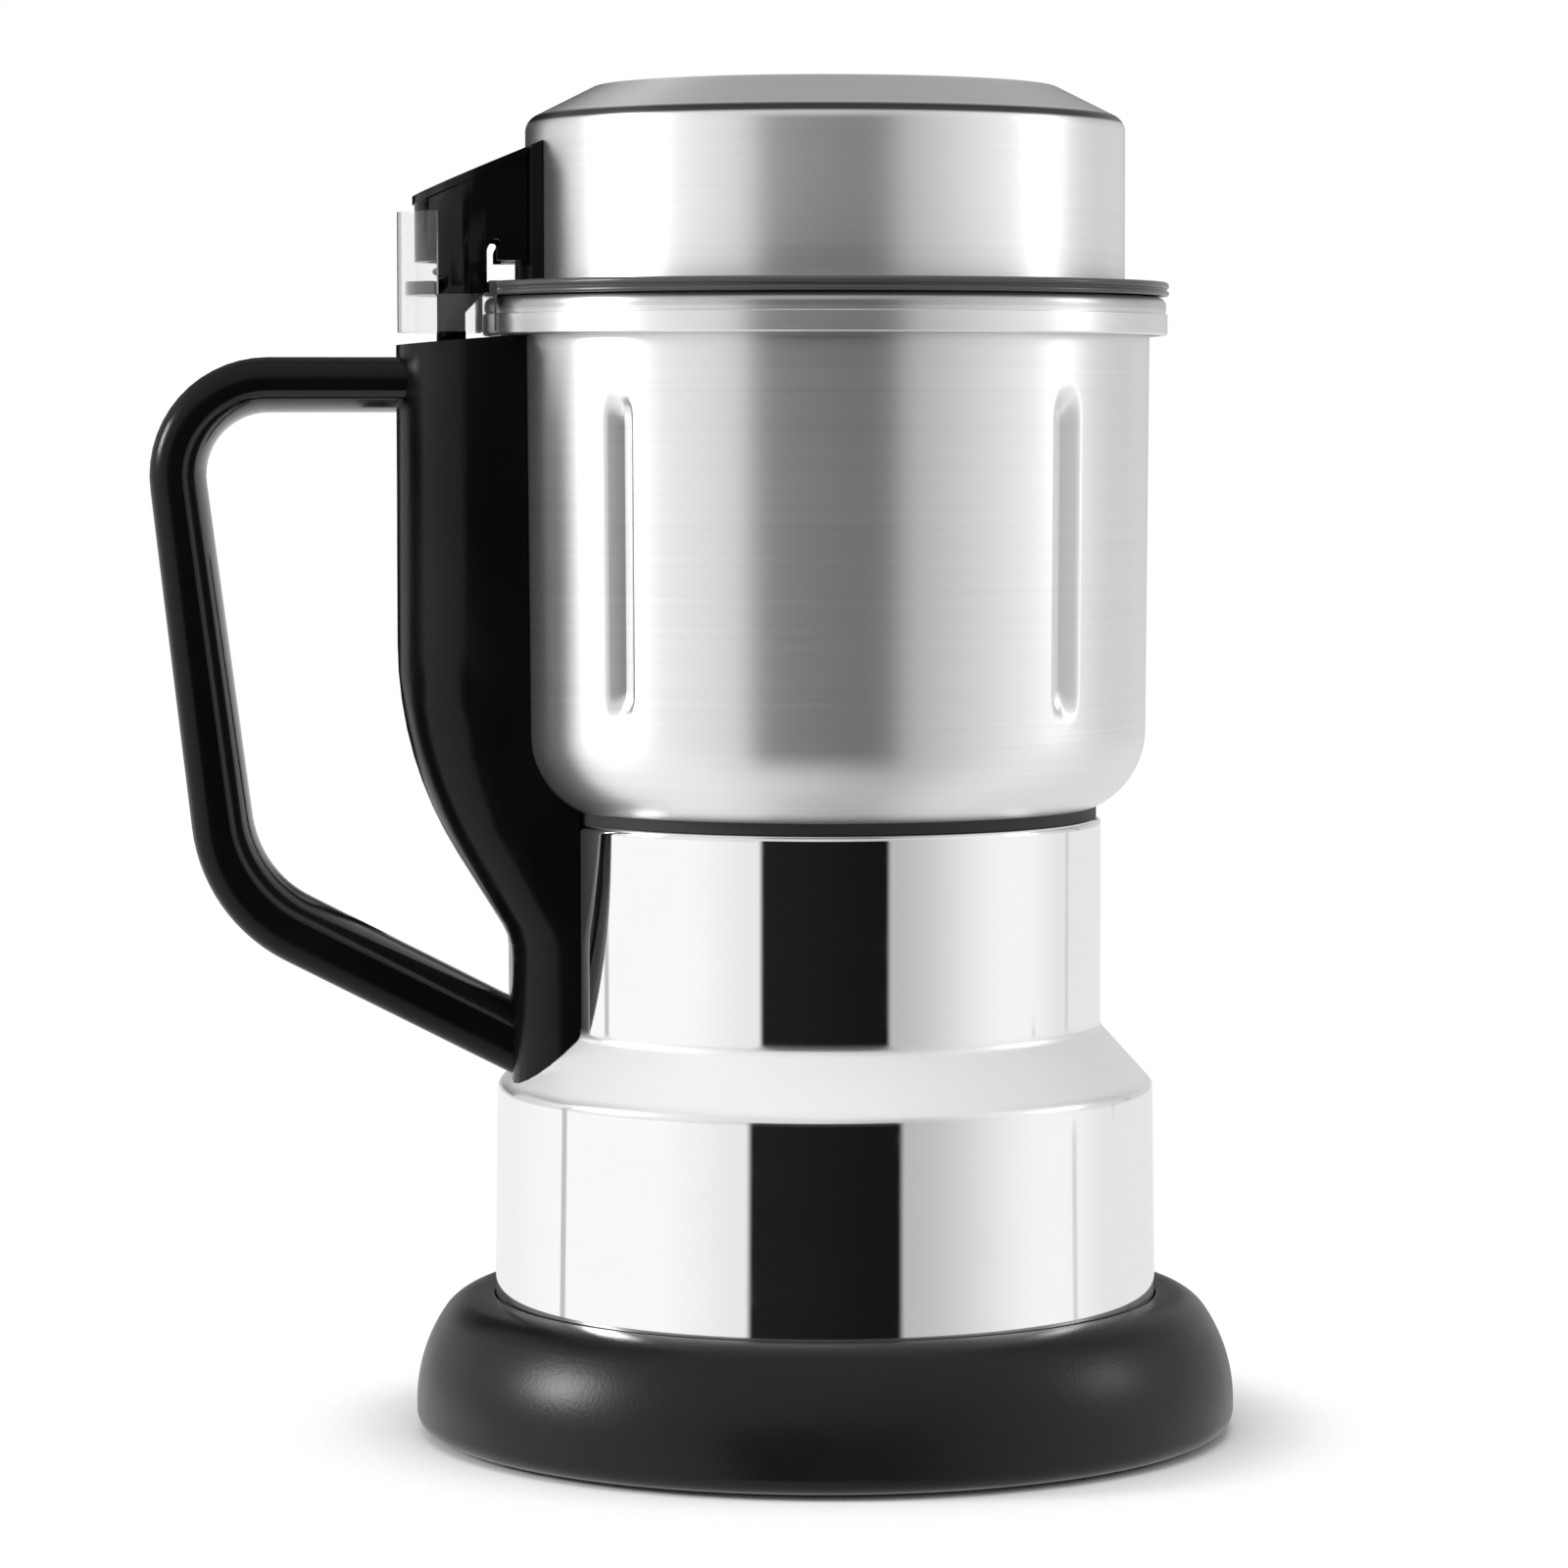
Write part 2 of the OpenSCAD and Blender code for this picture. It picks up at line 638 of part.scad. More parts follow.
// Outline of the housing's outside, grown by a gap
module housing_outline(grow = 0) {
    lift = grow / cos(shoulder_angle);
    polygon(rounded(
        [[0, housing_bottom_z], [housing_r + grow, housing_bottom_z],
         [low_top_r + grow, shoulder_z + lift - grow * tan(shoulder_angle)],
         [neck_r + grow, shoulder_top_z + lift - grow * tan(shoulder_angle)],
         [neck_r + grow, housing_top_z], [0, housing_top_z]],
        [0, 0, shoulder_round, shoulder_round, 1, 0], 5));
}

module housing_cavity_outline() {
    drop = housing_wall / cos(shoulder_angle) - housing_wall * tan(shoulder_angle);
    polygon([[0, housing_bottom_z - 1], [housing_r - housing_wall, housing_bottom_z - 1],
             [low_top_r - housing_wall, shoulder_z - drop],
             [neck_r - housing_wall, shoulder_top_z - drop],
             [neck_r - housing_wall, housing_ceiling_z], [0, housing_ceiling_z]]);
}

module bracket_screw_places() {
    around(bracket_screw_angles) translate([bracket_screw_r, 0, 0]) children();
}

module column_screw_places() {
    for (z = column_screw_zs, y = [-column_screw_y, column_screw_y])
        translate([-(neck_r - housing_wall), y, z]) rotate([0, 90, 0]) children();
}

module motor_housing() {
    color([0.86, 0.86, 0.87]) difference() {
        rotate_extrude() difference() {
            housing_outline();
            housing_cavity_outline();
        }
        disc(seal_r, housing_ceiling_z - 1, housing_top_z + 1);
        bracket_screw_places() disc(screw_shank_r + 0.3, housing_ceiling_z - 1, housing_top_z + 1);
        column_screw_places() translate([0, 0, -6])
            cylinder(r = screw_shank_r + 0.2, h = 12);
        translate([-neck_r, 0, lead_hole_z]) rotate([0, 90, 0])
            translate([0, 0, -6]) cylinder(r = lead_y + lead_r + 0.8, h = 14);
    }
}

// Outline of the bowl, taken in from the outside by a wall thickness
module bowl_outline(inset = 0, top_z = rim_z) {
    foot = bowl_foot_r - inset;
    round_r = bowl_corner_r - inset;
    bottom = bowl_bottom_z + inset;
    translate([foot - round_r, bottom + round_r]) circle(r = round_r);
    polygon([[0, bottom], [foot - round_r, bottom], [foot - round_r, bottom + round_r],
             [foot, bottom + round_r], [bowl_r - inset, rim_z], [bowl_r - inset, top_z],
             [0, top_z]]);
}

// The rolled rim: a straight band, a fine line and a rounded lip, hollow underneath
module rim_outline() {
    band_top = rim_z + rim_band_h;
    difference() {
        polygon(rounded(
            [[bowl_in_r, rim_z], [rim_r, rim_z], [rim_r, band_top], [rim_r - 0.35, band_top],
             [rim_r - 0.35, band_top + 0.3], [rim_r - 0.2, band_top + 0.3],
             [rim_r - 0.2, rim_top_z], [bowl_in_r, rim_top_z]],
            [0, 0.3, 0, 0, 0, 0, 1.2, 0.4], 5));
        polygon([[bowl_r, rim_z - 1], [rim_r - bowl_wall, rim_z - 1],
                 [rim_r - bowl_wall, rim_top_z - 2 * bowl_wall],
                 [bowl_r, rim_top_z - 2 * bowl_wall]]);
    }
}

module flute_body(r, at_r) {
    reach = flute_len / 2 - flute_w / 2;
    translate([at_r, 0, bowl_bottom_z + flute_mid]) {
        translate([0, 0, -reach]) cylinder(r = r, h = 2 * reach);
        for (side = [-1, 1]) translate([0, 0, side * reach]) sphere(r = r);
    }
}

flute_angles = [for (i = [0:flute_count - 1])
    45 + 360 * i / flute_count + flute_shift * (i % 2 == 0 ? 1 : -1)];

module bowl() {
    color([0.78, 0.78, 0.79]) difference() {
        union() {
            rotate_extrude() difference() {
                union() {
                    bowl_outline();
                    rim_outline();
                }
                bowl_outline(bowl_wall, rim_top_z + 1);
            }
            intersection() {
                around(flute_angles) flute_body(flute_cut_r + bowl_wall, flute_axis_r);
                rotate_extrude() bowl_outline(bowl_wall / 2);
            }
        }
        around(flute_angles) flute_body(flute_cut_r, flute_axis_r);
        disc(seal_r, bowl_bottom_z - 1, bowl_floor_z + 1);
        bracket_screw_places() disc(screw_shank_r + 0.3, bowl_bottom_z - 1, bowl_floor_z + 1);
    }
}

module bowl_gasket() {
    color([0.04, 0.04, 0.04]) difference() {
        rotate_extrude() difference() {
            translate([seal_r, housing_top_z]) square([gasket_r - seal_r, gasket_t + 1.1]);
            bowl_outline(-fit_gap);
        }
        bracket_screw_places() disc(screw_shank_r + 0.3, housing_top_z - 1, bowl_bottom_z + 1);
    }
}

module bowl_screws() {
    color([0.75, 0.75, 0.76]) bracket_screw_places() translate([0, 0, bowl_floor_z])
        pan_screw(screw_head_r, 1.8, screw_shank_r, bowl_floor_z - bracket_top_z + bracket_t);
}

module shaft_seal() {
    top_z = blade_z - hub_h - 0.5;
    color([0.08, 0.08, 0.08]) rotate_extrude() polygon(rounded(
        [[shaft_r + run_gap, housing_ceiling_z - 0.5], [seal_r - fit_gap, housing_ceiling_z - 0.5],
         [seal_r - fit_gap, bowl_floor_z], [seal_r + 3, bowl_floor_z],
         [seal_r + 3, bowl_floor_z + 1.6], [seal_r - 2, top_z], [shaft_r + run_gap, top_z]],
        [0, 0, 0, 0, 0.8, 1, 0], 4));
}

// ---------------------------------------------------------------- motor, fixed pieces

module rubber_mounts() {
    color([0.06, 0.06, 0.06]) bracket_screw_places() difference() {
        disc(5, housing_ceiling_z - mount_t, housing_ceiling_z);
        disc(screw_shank_r + 0.3, housing_ceiling_z - mount_t - 1, housing_ceiling_z + 1);
    }
}

module upper_bracket() {
    boss_top = housing_ceiling_z - mount_t;
    under = bracket_top_z - bracket_t;
    color([0.65, 0.66, 0.68]) difference() {
        union() {
            difference() {
                disc(bracket_r, under, bracket_top_z);
                around([30, 150, 270]) translate([20, 0, 0]) disc(7, under - 1, bracket_top_z + 1);
            }
            disc(bearing_hub_r, upper_bearing_z - 1, housing_ceiling_z - 0.8);
            bracket_screw_places() disc(4.4, under, boss_top);
            for (side = [-1, 1]) translate([side * bolt_x, 0, 0])
                disc(3.6, stack_top_z, bracket_top_z);
        }
        disc(bearing_r + fit_gap, upper_bearing_z, housing_ceiling_z);
        disc(shaft_r + 1, upper_bearing_z - 2, housing_ceiling_z);
        bracket_screw_places() disc(screw_shank_r + fit_gap, under - 1, boss_top + 1);
        for (side = [-1, 1]) translate([side * bolt_x, 0, 0])
            disc(bolt_r + 0.1, stack_top_z - 1, bracket_top_z + 1);
    }
}

// A plain bearing bush standing on z0
module bearing_bush(z0, h) {
    color([0.72, 0.52, 0.25]) ring(bearing_r, shaft_r + run_gap, z0, z0 + h);
}

module upper_bearing() {
    bearing_bush(upper_bearing_z, upper_bearing_h);
}

module lower_bearing() {
    bearing_bush(lower_bearing_z, lower_bearing_h);
}

module stator_outline() {
    bore = rotor_r + air_gap;
    shoe_r = bore + pole_shoe_t;
    window_x = stator_w / 2 - yoke_w;
    window_y = stator_half_d - yoke_w;
    difference() {
        intersection() {
            square([stator_w, 2 * stator_half_d], center = true);
            circle(r = stator_corner_r);
        }
        difference() {
            square([2 * window_x, 2 * window_y], center = true);
            difference() {
                union() {
                    square([14, 2 * stator_half_d], center = true);
                    intersection() {
                        circle(r = shoe_r);
                        square([28, 2 * stator_half_d], center = true);
                    }
                }
                square([stator_w, 14], center = true);
            }
        }
        circle(r = bore);
        for (side = [-1, 1]) translate([side * bolt_x, 0]) circle(r = bolt_r + 0.1);
    }
}

module stator_core() {
    color([0.42, 0.43, 0.45]) translate([0, 0, stack_z]) linear_extrude(stack_h) stator_outline();
}

module field_coils() {
    outer_y = stator_half_d - yoke_w - coil_gap;
    half = stator_w / 2 - yoke_w - 4;
    color([0.72, 0.4, 0.18]) for (side = [0, 180]) rotate([0, 0, side])
        translate([0, outer_y, 0]) rotate([90, 0, 0]) linear_extrude(coil_t) difference() {
            polygon(rounded(
                [[-half, stack_z - end_turn_h], [half, stack_z - end_turn_h],
                 [half, stack_top_z + end_turn_h], [-half, stack_top_z + end_turn_h]],
                [6, 6, 6, 6], 5));
            polygon([[-7.3, stack_z - 0.3], [7.3, stack_z - 0.3],
                     [7.3, stack_top_z + 0.3], [-7.3, stack_top_z + 0.3]]);
        }
}

module lower_bracket() {
    arm = yoke_w;
    top = lower_bracket_z + lower_bracket_t;
    color([0.65, 0.66, 0.68]) difference() {
        union() {
            box([-stator_w / 2, -7, lower_bracket_z], [stator_w / 2, 7, top]);
            for (side = [-1, 1]) translate([side * bolt_x, 0, 0])
                box([-arm / 2, -7, lower_bracket_z], [arm / 2, 7, stack_z]);
            disc(bearing_hub_r, lower_bracket_z, lower_bearing_z + lower_bearing_h);
        }
        disc(bearing_r + fit_gap, lower_bearing_z, far);
        disc(shaft_r + 1, 0, far);
        for (side = [-1, 1]) translate([side * bolt_x, 0, 0])
            disc(bolt_r + 0.1, 0, stack_z + 1);
    }
}

module motor_bolts() {
    color([0.6, 0.6, 0.62]) for (side = [-1, 1]) translate([side * bolt_x, 0, lower_bracket_z])
        rotate([180, 0, 0])
            pan_screw(2.8, 1.6, bolt_r, bracket_top_z - lower_bracket_z + 1);
}

module brush_card() {
    half_y = rotor_r + air_gap + 2.7;
    color([0.45, 0.28, 0.14]) difference() {
        translate([0, 0, card_z]) linear_extrude(card_t)
            square([stator_w - 2 * yoke_w, 2 * half_y], center = true);
        disc(rotor_r - 1.2, card_z - 1, card_z + card_t + 1);
    }
}

module brush_holders() {
    half = brush_w / 2 + 0.1 + holder_wall;
    bore = brush_w / 2 + 0.1;
    color([0.78, 0.62, 0.3]) for (side = [0, 180]) rotate([0, 0, side]) difference() {
        union() {
            box([-half, holder_in_y, brush_z - half], [half, holder_in_y + holder_len, brush_z + half]);
            box([-half, holder_in_y + 1, brush_z + half - eps], [half, holder_in_y + 6, card_z]);
        }
        box([-bore, holder_in_y - 1, brush_z - bore],
            [bore, holder_in_y + holder_len - 1, brush_z + bore]);
    }
}

module carbon_brushes() {
    half = brush_w / 2;
    color([0.1, 0.1, 0.1]) for (side = [0, 180]) rotate([0, 0, side]) difference() {
        box([-half, commutator_r - 1, brush_z - half], [half, holder_in_y + 6.5, brush_z + half]);
        disc(commutator_r + free_gap, brush_z - 9, brush_z + 9);
    }
}

module brush_springs() {
    near = holder_in_y + 6.5;
    color([0.7, 0.7, 0.7]) for (side = [0, 180]) rotate([0, 0, side])
        translate([0, near, brush_z]) rotate([-90, 0, 0])
            coil_spring(1.6, 0.25, 0, holder_len - 7.5, 5, 5, 10);
}

terminal_x = stator_w / 2;
terminal_t = 4;

module terminal_block() {
    color([0.85, 0.83, 0.78]) difference() {
        box([-terminal_x - terminal_t, -6, lead_hole_z - 4], [-terminal_x, 6, lead_hole_z + 4]);
        for (y = [-lead_y, lead_y]) translate([-terminal_x - terminal_t - 1, y, lead_hole_z])
            rotate([0, 90, 0]) cylinder(r = lead_r + 0.1, h = 4);
    }
}

// Middle of the space between what the column stands against and its back wall, at a height
function lead_reach(z, front) = (front + back_reach(z) - column_wall / cos(back_angle(z))) / 2;

// Two leads run from the switch down the column and through the housing's wall
module switch_leads() {
    middle = [for (z = [housing_top_z - 2, shoulder_top_z + 16]) lead_reach(z, neck_r)];
    color([0.85, 0.85, 0.82]) for (y = [-lead_y, lead_y]) {
        route = [[-leg_x, y, switch_z - 3.4], [-leg_x, y, switch_z - 16],
                 [-lead_reach(bend_z - 17, bowl_r), y, bend_z - 17],
                 [-middle[0], y, housing_top_z - 2], [-middle[1], y, shoulder_top_z + 16],
                 [-middle[1], y, lead_hole_z], [-terminal_x - terminal_t + 1.5, y, lead_hole_z]];
        for (i = [0:len(route) - 2]) rod(route[i], route[i + 1], lead_r);
    }
}

// ---------------------------------------------------------------- column and handle

// Section of the column: straight sides and two large rounds at the back edge
module column_section(back, half, round_r, depth) {
    translate([back - depth, -half]) square([depth - round_r, 2 * half]);
    translate([back - round_r - eps, -(half - round_r)]) square([round_r + eps, 2 * (half - round_r)]);
    for (side = [-1, 1]) translate([back - round_r, side * (half - round_r)]) circle(r = round_r);
}

// Angle between the column's back and the upright, at a height
function back_angle(z) = z >= bend_z ? 0 : z > slope_z ? asin((bend_z - z) / bend_r)
    : z > ankle_top_z ? bend_angle : z > ankle_z ? asin((z - ankle_z) / ankle_r) : 0;

// Distance of the column's back from the axis, at a height
function back_reach(z) = z > slope_z ? column_reach - bend_r * (1 - cos(back_angle(z)))
    : z > ankle_top_z ? slope_reach - (slope_z - z) * tan(bend_angle)
    : foot_reach + ankle_r * (1 - cos(back_angle(z)));

// Round of the column's back edges, at a height: it grows from the foot to the upright
function edge_round(z) = foot_round + (column_round - foot_round)
    * min(1, max(0, (z - ankle_z) / (bend_z - ankle_z)));

// One level outline of the column, taken in by a wall
function column_row(z, inset, steps = 7) =
    let (back = back_reach(z) - inset / cos(back_angle(z)), half = column_half - inset,
         r = edge_round(z) - inset)
    concat([[column_front_x, half, z]],
           [for (i = [0:steps]) let (a = 90 * i / steps)
               [-(back - r + r * sin(a)), half - r + r * cos(a), z]],
           [for (i = [steps:-1:0]) let (a = 90 * i / steps)
               [-(back - r + r * sin(a)), -(half - r + r * cos(a)), z]],
           [[column_front_x, -half, z]]);

// The column as a solid: upright, bend, slope, ankle and foot, taken in by a wall
module column_body(inset, bottom_z, top_z) {
    bend = [for (i = [0:8]) bend_z - bend_r * sin(bend_angle * i / 8)];
    ankle = [for (i = [3:-1:0]) ankle_z + ankle_r * sin(bend_angle * i / 3)];
    loft([for (z = concat([top_z], bend, ankle, [bottom_z])) column_row(z, inset)]);
}

// Everything of the bowl and housing that the column seats against
module column_seat() {
    rotate_extrude() {
        bowl_outline(-seat_gap, rim_top_z);
        housing_outline(seat_gap);
        translate([0, housing_bottom_z]) square([neck_r + seat_gap, rim_z - housing_bottom_z]);
        translate([0, rim_z - seat_gap]) square([rim_r + seat_gap, 30]);
    }
}

// The upright and the foot as plain prisms, which the ends of the loop are scribed to
module column_ends() {
    translate([0, 0, bend_z]) linear_extrude(far) mirror([1, 0])
        column_section(column_reach + fit_gap, column_half, column_round, 30);
    translate([0, 0, housing_bottom_z]) linear_extrude(ankle_z - housing_bottom_z) mirror([1, 0])
        column_section(foot_reach + fit_gap, column_half, foot_round, 16);
    rotate_extrude() housing_outline(seat_gap);
}

module leg_slots(z0, z1, gap) {
    for (side = [-1, 1]) scale([1, side, 1])
        box([-(leg_outer_x + gap), leg_gap - gap, z0],
            [-(leg_inner_x - gap), block_w / 2 + gap, z1]);
}

module handle_column() {
    inner_top = column_under_z;
    boss_r = 3.4;
    color([0.07, 0.07, 0.07]) difference() {
        union() {
            difference() {
                column_body(0, column_foot_z, column_top_z + 4);
                column_body(column_wall, column_foot_z + 6, inner_top);
            }
            translate([0, 0, shelf_z]) linear_extrude(shelf_t) mirror([1, 0])
                column_section(column_reach - column_wall / 2, column_half - column_wall / 2,
                               column_round - column_wall / 2, column_round);
            for (z = column_screw_zs, y = [-column_screw_y, column_screw_y])
                translate([0, y, z]) rotate([0, -90, 0])
                    cylinder(r = boss_r, h = back_reach(z - boss_r) - column_wall / 2);
            for (y = [-5, 5]) translate([-column_reach + column_wall / 2, y, switch_z + 2.6])
                rotate([0, 90, 0]) cylinder(r = 1.1, h = column_reach - leg_x + 3);
        }
        translate([-column_reach, 0, column_top_z]) rotate([0, -top_slope, 0])
            translate([-far / 2, -far / 2, 0]) cube([far, far, far]);
        column_seat();
        leg_slots(inner_top - 1, column_top_z + 6, 0.4);
        translate([-leg_x, 0, shelf_z - 1]) cylinder(r = stem_r + run_gap + 0.05, h = shelf_t + 2);
        column_screw_places() translate([0, 0, -6]) cylinder(r = screw_shank_r + fit_gap, h = 7);
    }
}

module column_screws() {
    color([0.7, 0.7, 0.72]) column_screw_places() translate([0, 0, housing_wall + 0.4])
        pan_screw(2.9, 1.6, screw_shank_r, 5.6);
}

// Stations along the loop's path: place, outward direction and thickness
function loop_stations(steps = 8) =
    let (count = len(loop_path),
         heads = [for (i = [0:count - 2]) unit(loop_path[i + 1] - loop_path[i])],
         outs = [for (h = heads) [h[1], -h[0]]])
    concat([[loop_path[0], outs[0], loop_thick[0]]],
           [for (i = [1:count - 2]) let (turn = acos(heads[i - 1] * heads[i]),
                   cut = loop_bends[i] * tan(turn / 2),
                   centre = loop_path[i] - heads[i - 1] * cut - outs[i - 1] * loop_bends[i],
                   start = atan2(outs[i - 1][1], outs[i - 1][0]))
               for (k = [0:steps]) let (a = start + turn * k / steps, out = [cos(a), sin(a)])
                   [centre + out * loop_bends[i], out,
                    loop_thick[i] + (loop_thick[min(i, 1)] - loop_thick[i]) * (1 - k / steps) / 2]],
           [[loop_path[count - 1], outs[count - 2], loop_thick[count - 1]]]);

// Skins the loop's path with a section: x of a point counts outwards in half thicknesses
module along_loop(points) {
    loft([for (s = loop_stations())
        [for (q = points) let (p = s[0] + s[1] * (q[0] + sign(q[0]) * (s[2] / 2 - loop_out)))
            [p[0], q[1], p[1]]]]);
}

loop_out = loop_low_t / 2;
parting = -loop_out + strip_t;

// Outer channel: round outer edges, a raised bead beside the parting line, hollow inside
channel_points = let (half = loop_w / 2, inner = half - channel_wall)
    rounded([[loop_out, half], [loop_out, -half], [parting + 1.4, -half],
             [parting + 1.2, -half - 0.35], [parting, -half - 0.35], [parting, -inner],
             [loop_out - channel_wall, -inner], [loop_out - channel_wall, inner],
             [parting, inner], [parting, half + 0.35], [parting + 1.2, half + 0.35],
             [parting + 1.4, half]],
            [3.4, 3.4, 0, 0, 0, 0, 0, 0, 0, 0, 0, 0], 5);

// Inner strip: rounded towards the fingers, with a tongue that drops into the channel
strip_points = let (half = loop_w / 2 - 0.3, tongue = loop_w / 2 - channel_wall - seat_gap)
    rounded([[parting - 2 * seat_gap, half], [parting - seat_gap, tongue], [parting + 1.2, tongue],
             [parting + 1.2, -tongue], [parting - seat_gap, -tongue], [parting - 2 * seat_gap, -half],
             [-loop_out, -half], [-loop_out, half]],
            [0, 0, 0, 0, 0, 0, 2.7, 2.7], 5);

module handle_loop() {
    color([0.06, 0.06, 0.06]) difference() {
        along_loop(channel_points);
        column_ends();
    }
}

module handle_strip() {
    color([0.1, 0.1, 0.1]) difference() {
        along_loop(strip_points);
        column_ends();
    }
}

// ---------------------------------------------------------------- safety switch

module microswitch() {
    front = -(leg_x - switch_t / 2);
    back = -(leg_x + switch_t / 2);
    color([0.15, 0.15, 0.17]) difference() {
        union() {
            box([back, -switch_len / 2, switch_z], [front, switch_len / 2, switch_top_z]);
            for (y = [-8, -lead_y, lead_y])
                box([-leg_x - 1.6, y - 0.3, switch_z - 3.4], [-leg_x + 1.6, y + 0.3, switch_z + 1]);
        }
        for (y = [-5, 5]) translate([back - 1, y, switch_z + 2.6]) rotate([0, 90, 0])
            cylinder(r = 1.1 + seat_gap, h = switch_t + 2);
        translate([-leg_x, 0, switch_top_z - press_travel - 1.5])
            cylinder(r = switch_pin_r + run_gap, h = far);
    }
}

module switch_pin() {
    color([0.8, 0.2, 0.15]) translate([-leg_x, 0, switch_top_z - 1]) rotate_extrude()
        polygon(rounded([[0, 0], [switch_pin_r, 0], [switch_pin_r, press_travel + 1 + free_gap],
                         [0, press_travel + 1 + free_gap]], [0, 0, 0.5, 0], 4));
}

module safety_plunger() {
    half_x = leg_t / 2 - 0.2;
    half_y = block_w / 2 - 2;
    color([0.85, 0.84, 0.8]) translate([-leg_x, 0, 0]) {
        box([-half_x, -half_y, head_z], [half_x, half_y, head_top_z]);
        disc(stem_r, stem_z, head_z + 0.5);
    }
}

module plunger_spring() {
    color([0.7, 0.7, 0.7]) translate([-leg_x, 0, 0])
        coil_spring(stem_r + 1.1, spring_wire, shelf_z + shelf_t + 0.1, head_z - 0.1, 4, 6, 14);
}

// ---------------------------------------------------------------- rotor and blades

module motor_shaft() {
    tip_z = blade_z + 2 * blade_t + nut_h - 1;
    color([0.7, 0.71, 0.73]) rotate_extrude() polygon(rounded(
        [[0, shaft_bottom_z], [shaft_r, shaft_bottom_z], [shaft_r, shaft_step_z],
         [shaft_tip_r, shaft_step_z], [shaft_tip_r, tip_z], [0, tip_z]],
        [0, 0.5, 0, 0, 0.4, 0], 3));
}

slot_angles = [for (i = [0:slot_count - 1]) 360 * i / slot_count];

module rotor_core() {
    color([0.45, 0.46, 0.48]) difference() {
        ring(rotor_r, shaft_r + fit_gap, stack_z, stack_top_z);
        around(slot_angles) {
            box([rotor_r - 6.5, -0.9, stack_z - 1], [rotor_r + 1, 0.9, stack_top_z + 1]);
            translate([rotor_r - 5.4, 0, 0]) disc(1.7, stack_z - 1, stack_top_z + 1);
        }
    }
}

module rotor_windings() {
    inner = shaft_r + 1.2;
    outer = rotor_r - 2.2;
    color([0.75, 0.42, 0.18]) {
        for (ends = [[stack_z - 4.4, stack_z - 0.2], [stack_top_z + 0.2, stack_top_z + 4.6]])
            rotate_extrude() polygon(rounded(
                [[inner, ends[0]], [outer, ends[0]], [outer, ends[1]], [inner, ends[1]]],
                [1.5, 1.8, 1.8, 1.5], 4));
        around(slot_angles) translate([rotor_r - 5.4, 0, 0])
            disc(1.5, stack_z - 1, stack_top_z + 1);
    }
}

module commutator() {
    z1 = commutator_z + commutator_h;
    color([0.8, 0.5, 0.28]) difference() {
        ring(commutator_r, shaft_r + fit_gap, commutator_z, z1);
        around([for (a = slot_angles) a + 180 / slot_count])
            box([commutator_r - 0.8, -0.25, commutator_z - 1], [commutator_r + 1, 0.25, z1 + 1]);
    }
}

module cooling_fan() {
    color([0.2, 0.2, 0.22]) {
        ring(fan_r, shaft_r + fit_gap, fan_z, fan_z + 1.2);
        ring(6, shaft_r + fit_gap, fan_z, fan_z + fan_h);
        around([for (i = [0:fan_blades - 1]) 360 * i / fan_blades])
            translate([5.4, 0, fan_z]) rotate([0, 0, 12])
                box([0, -0.55, 0], [fan_r - 6.6, 0.55, fan_h]);
    }
}

module blade_hub() {
    color([0.68, 0.69, 0.7]) difference() {
        rotate_extrude() polygon(rounded(
            [[shaft_tip_r + fit_gap, blade_z - hub_h], [6.2, blade_z - hub_h], [7, blade_z],
             [shaft_tip_r + fit_gap, blade_z]], [0, 0.8, 0.4, 0], 3));
        disc(shaft_r + fit_gap, blade_z - hub_h - 1, shaft_step_z);
    }
}

// A two-winged blade: each wing tapers, is ground sharp and turns at its tip
module blade(bend) {
    knee = blade_reach - 13;
    tip_w = blade_w - 3.5;
    difference() {
        union() {
            disc(7.4, 0, blade_t);
            around([0, 180]) {
                linear_extrude(blade_t) polygon([[0, -blade_w / 2], [knee, -tip_w / 2 - 0.6],
                    [knee, tip_w / 2 + 0.6], [0, blade_w / 2]]);
                translate([knee, 0, bend > 0 ? 0 : blade_t]) rotate([0, -bend, 0])
                    translate([0, 0, bend > 0 ? 0 : -blade_t]) linear_extrude(blade_t)
                        polygon(rounded([[-0.4, -tip_w / 2 - 0.6], [13, -tip_w / 2 + 1.4],
                            [13, tip_w / 2 - 1.4], [-0.4, tip_w / 2 + 0.6]], [0, 2, 2, 0], 4));
            }
        }
        disc(shaft_tip_r + fit_gap, -1, blade_t + 1);
        around([0, 180]) translate([8, -blade_w / 2 + 0.4, blade_t]) rotate([0, 0, 2])
            rotate([32, 0, 0]) box([0, -6, 0], [knee - 8.4, 2.2, 3]);
    }
}

module lower_blade() {
    color([0.8, 0.81, 0.82]) translate([0, 0, blade_z]) blade(-tip_bend / 2);
}

module upper_blade() {
    color([0.8, 0.81, 0.82]) translate([0, 0, blade_z + blade_t]) rotate([0, 0, 90])
        blade(tip_bend);
}

module blade_nut() {
    nut_z = blade_z + 2 * blade_t;
    color([0.72, 0.73, 0.74]) difference() {
        union() {
            disc(6.2, nut_z, nut_z + 0.9);
            translate([0, 0, nut_z]) cylinder(r = 5.4, h = nut_h, $fn = 6);
            translate([0, 0, nut_z + nut_h - 1.2]) intersection() {
                sphere(r = 4.4);
                disc(5, 0, 5);
            }
        }
        disc(shaft_tip_r + fit_gap, nut_z - 1, nut_z + nut_h - 0.8);
    }
}

// ---------------------------------------------------------------- lid

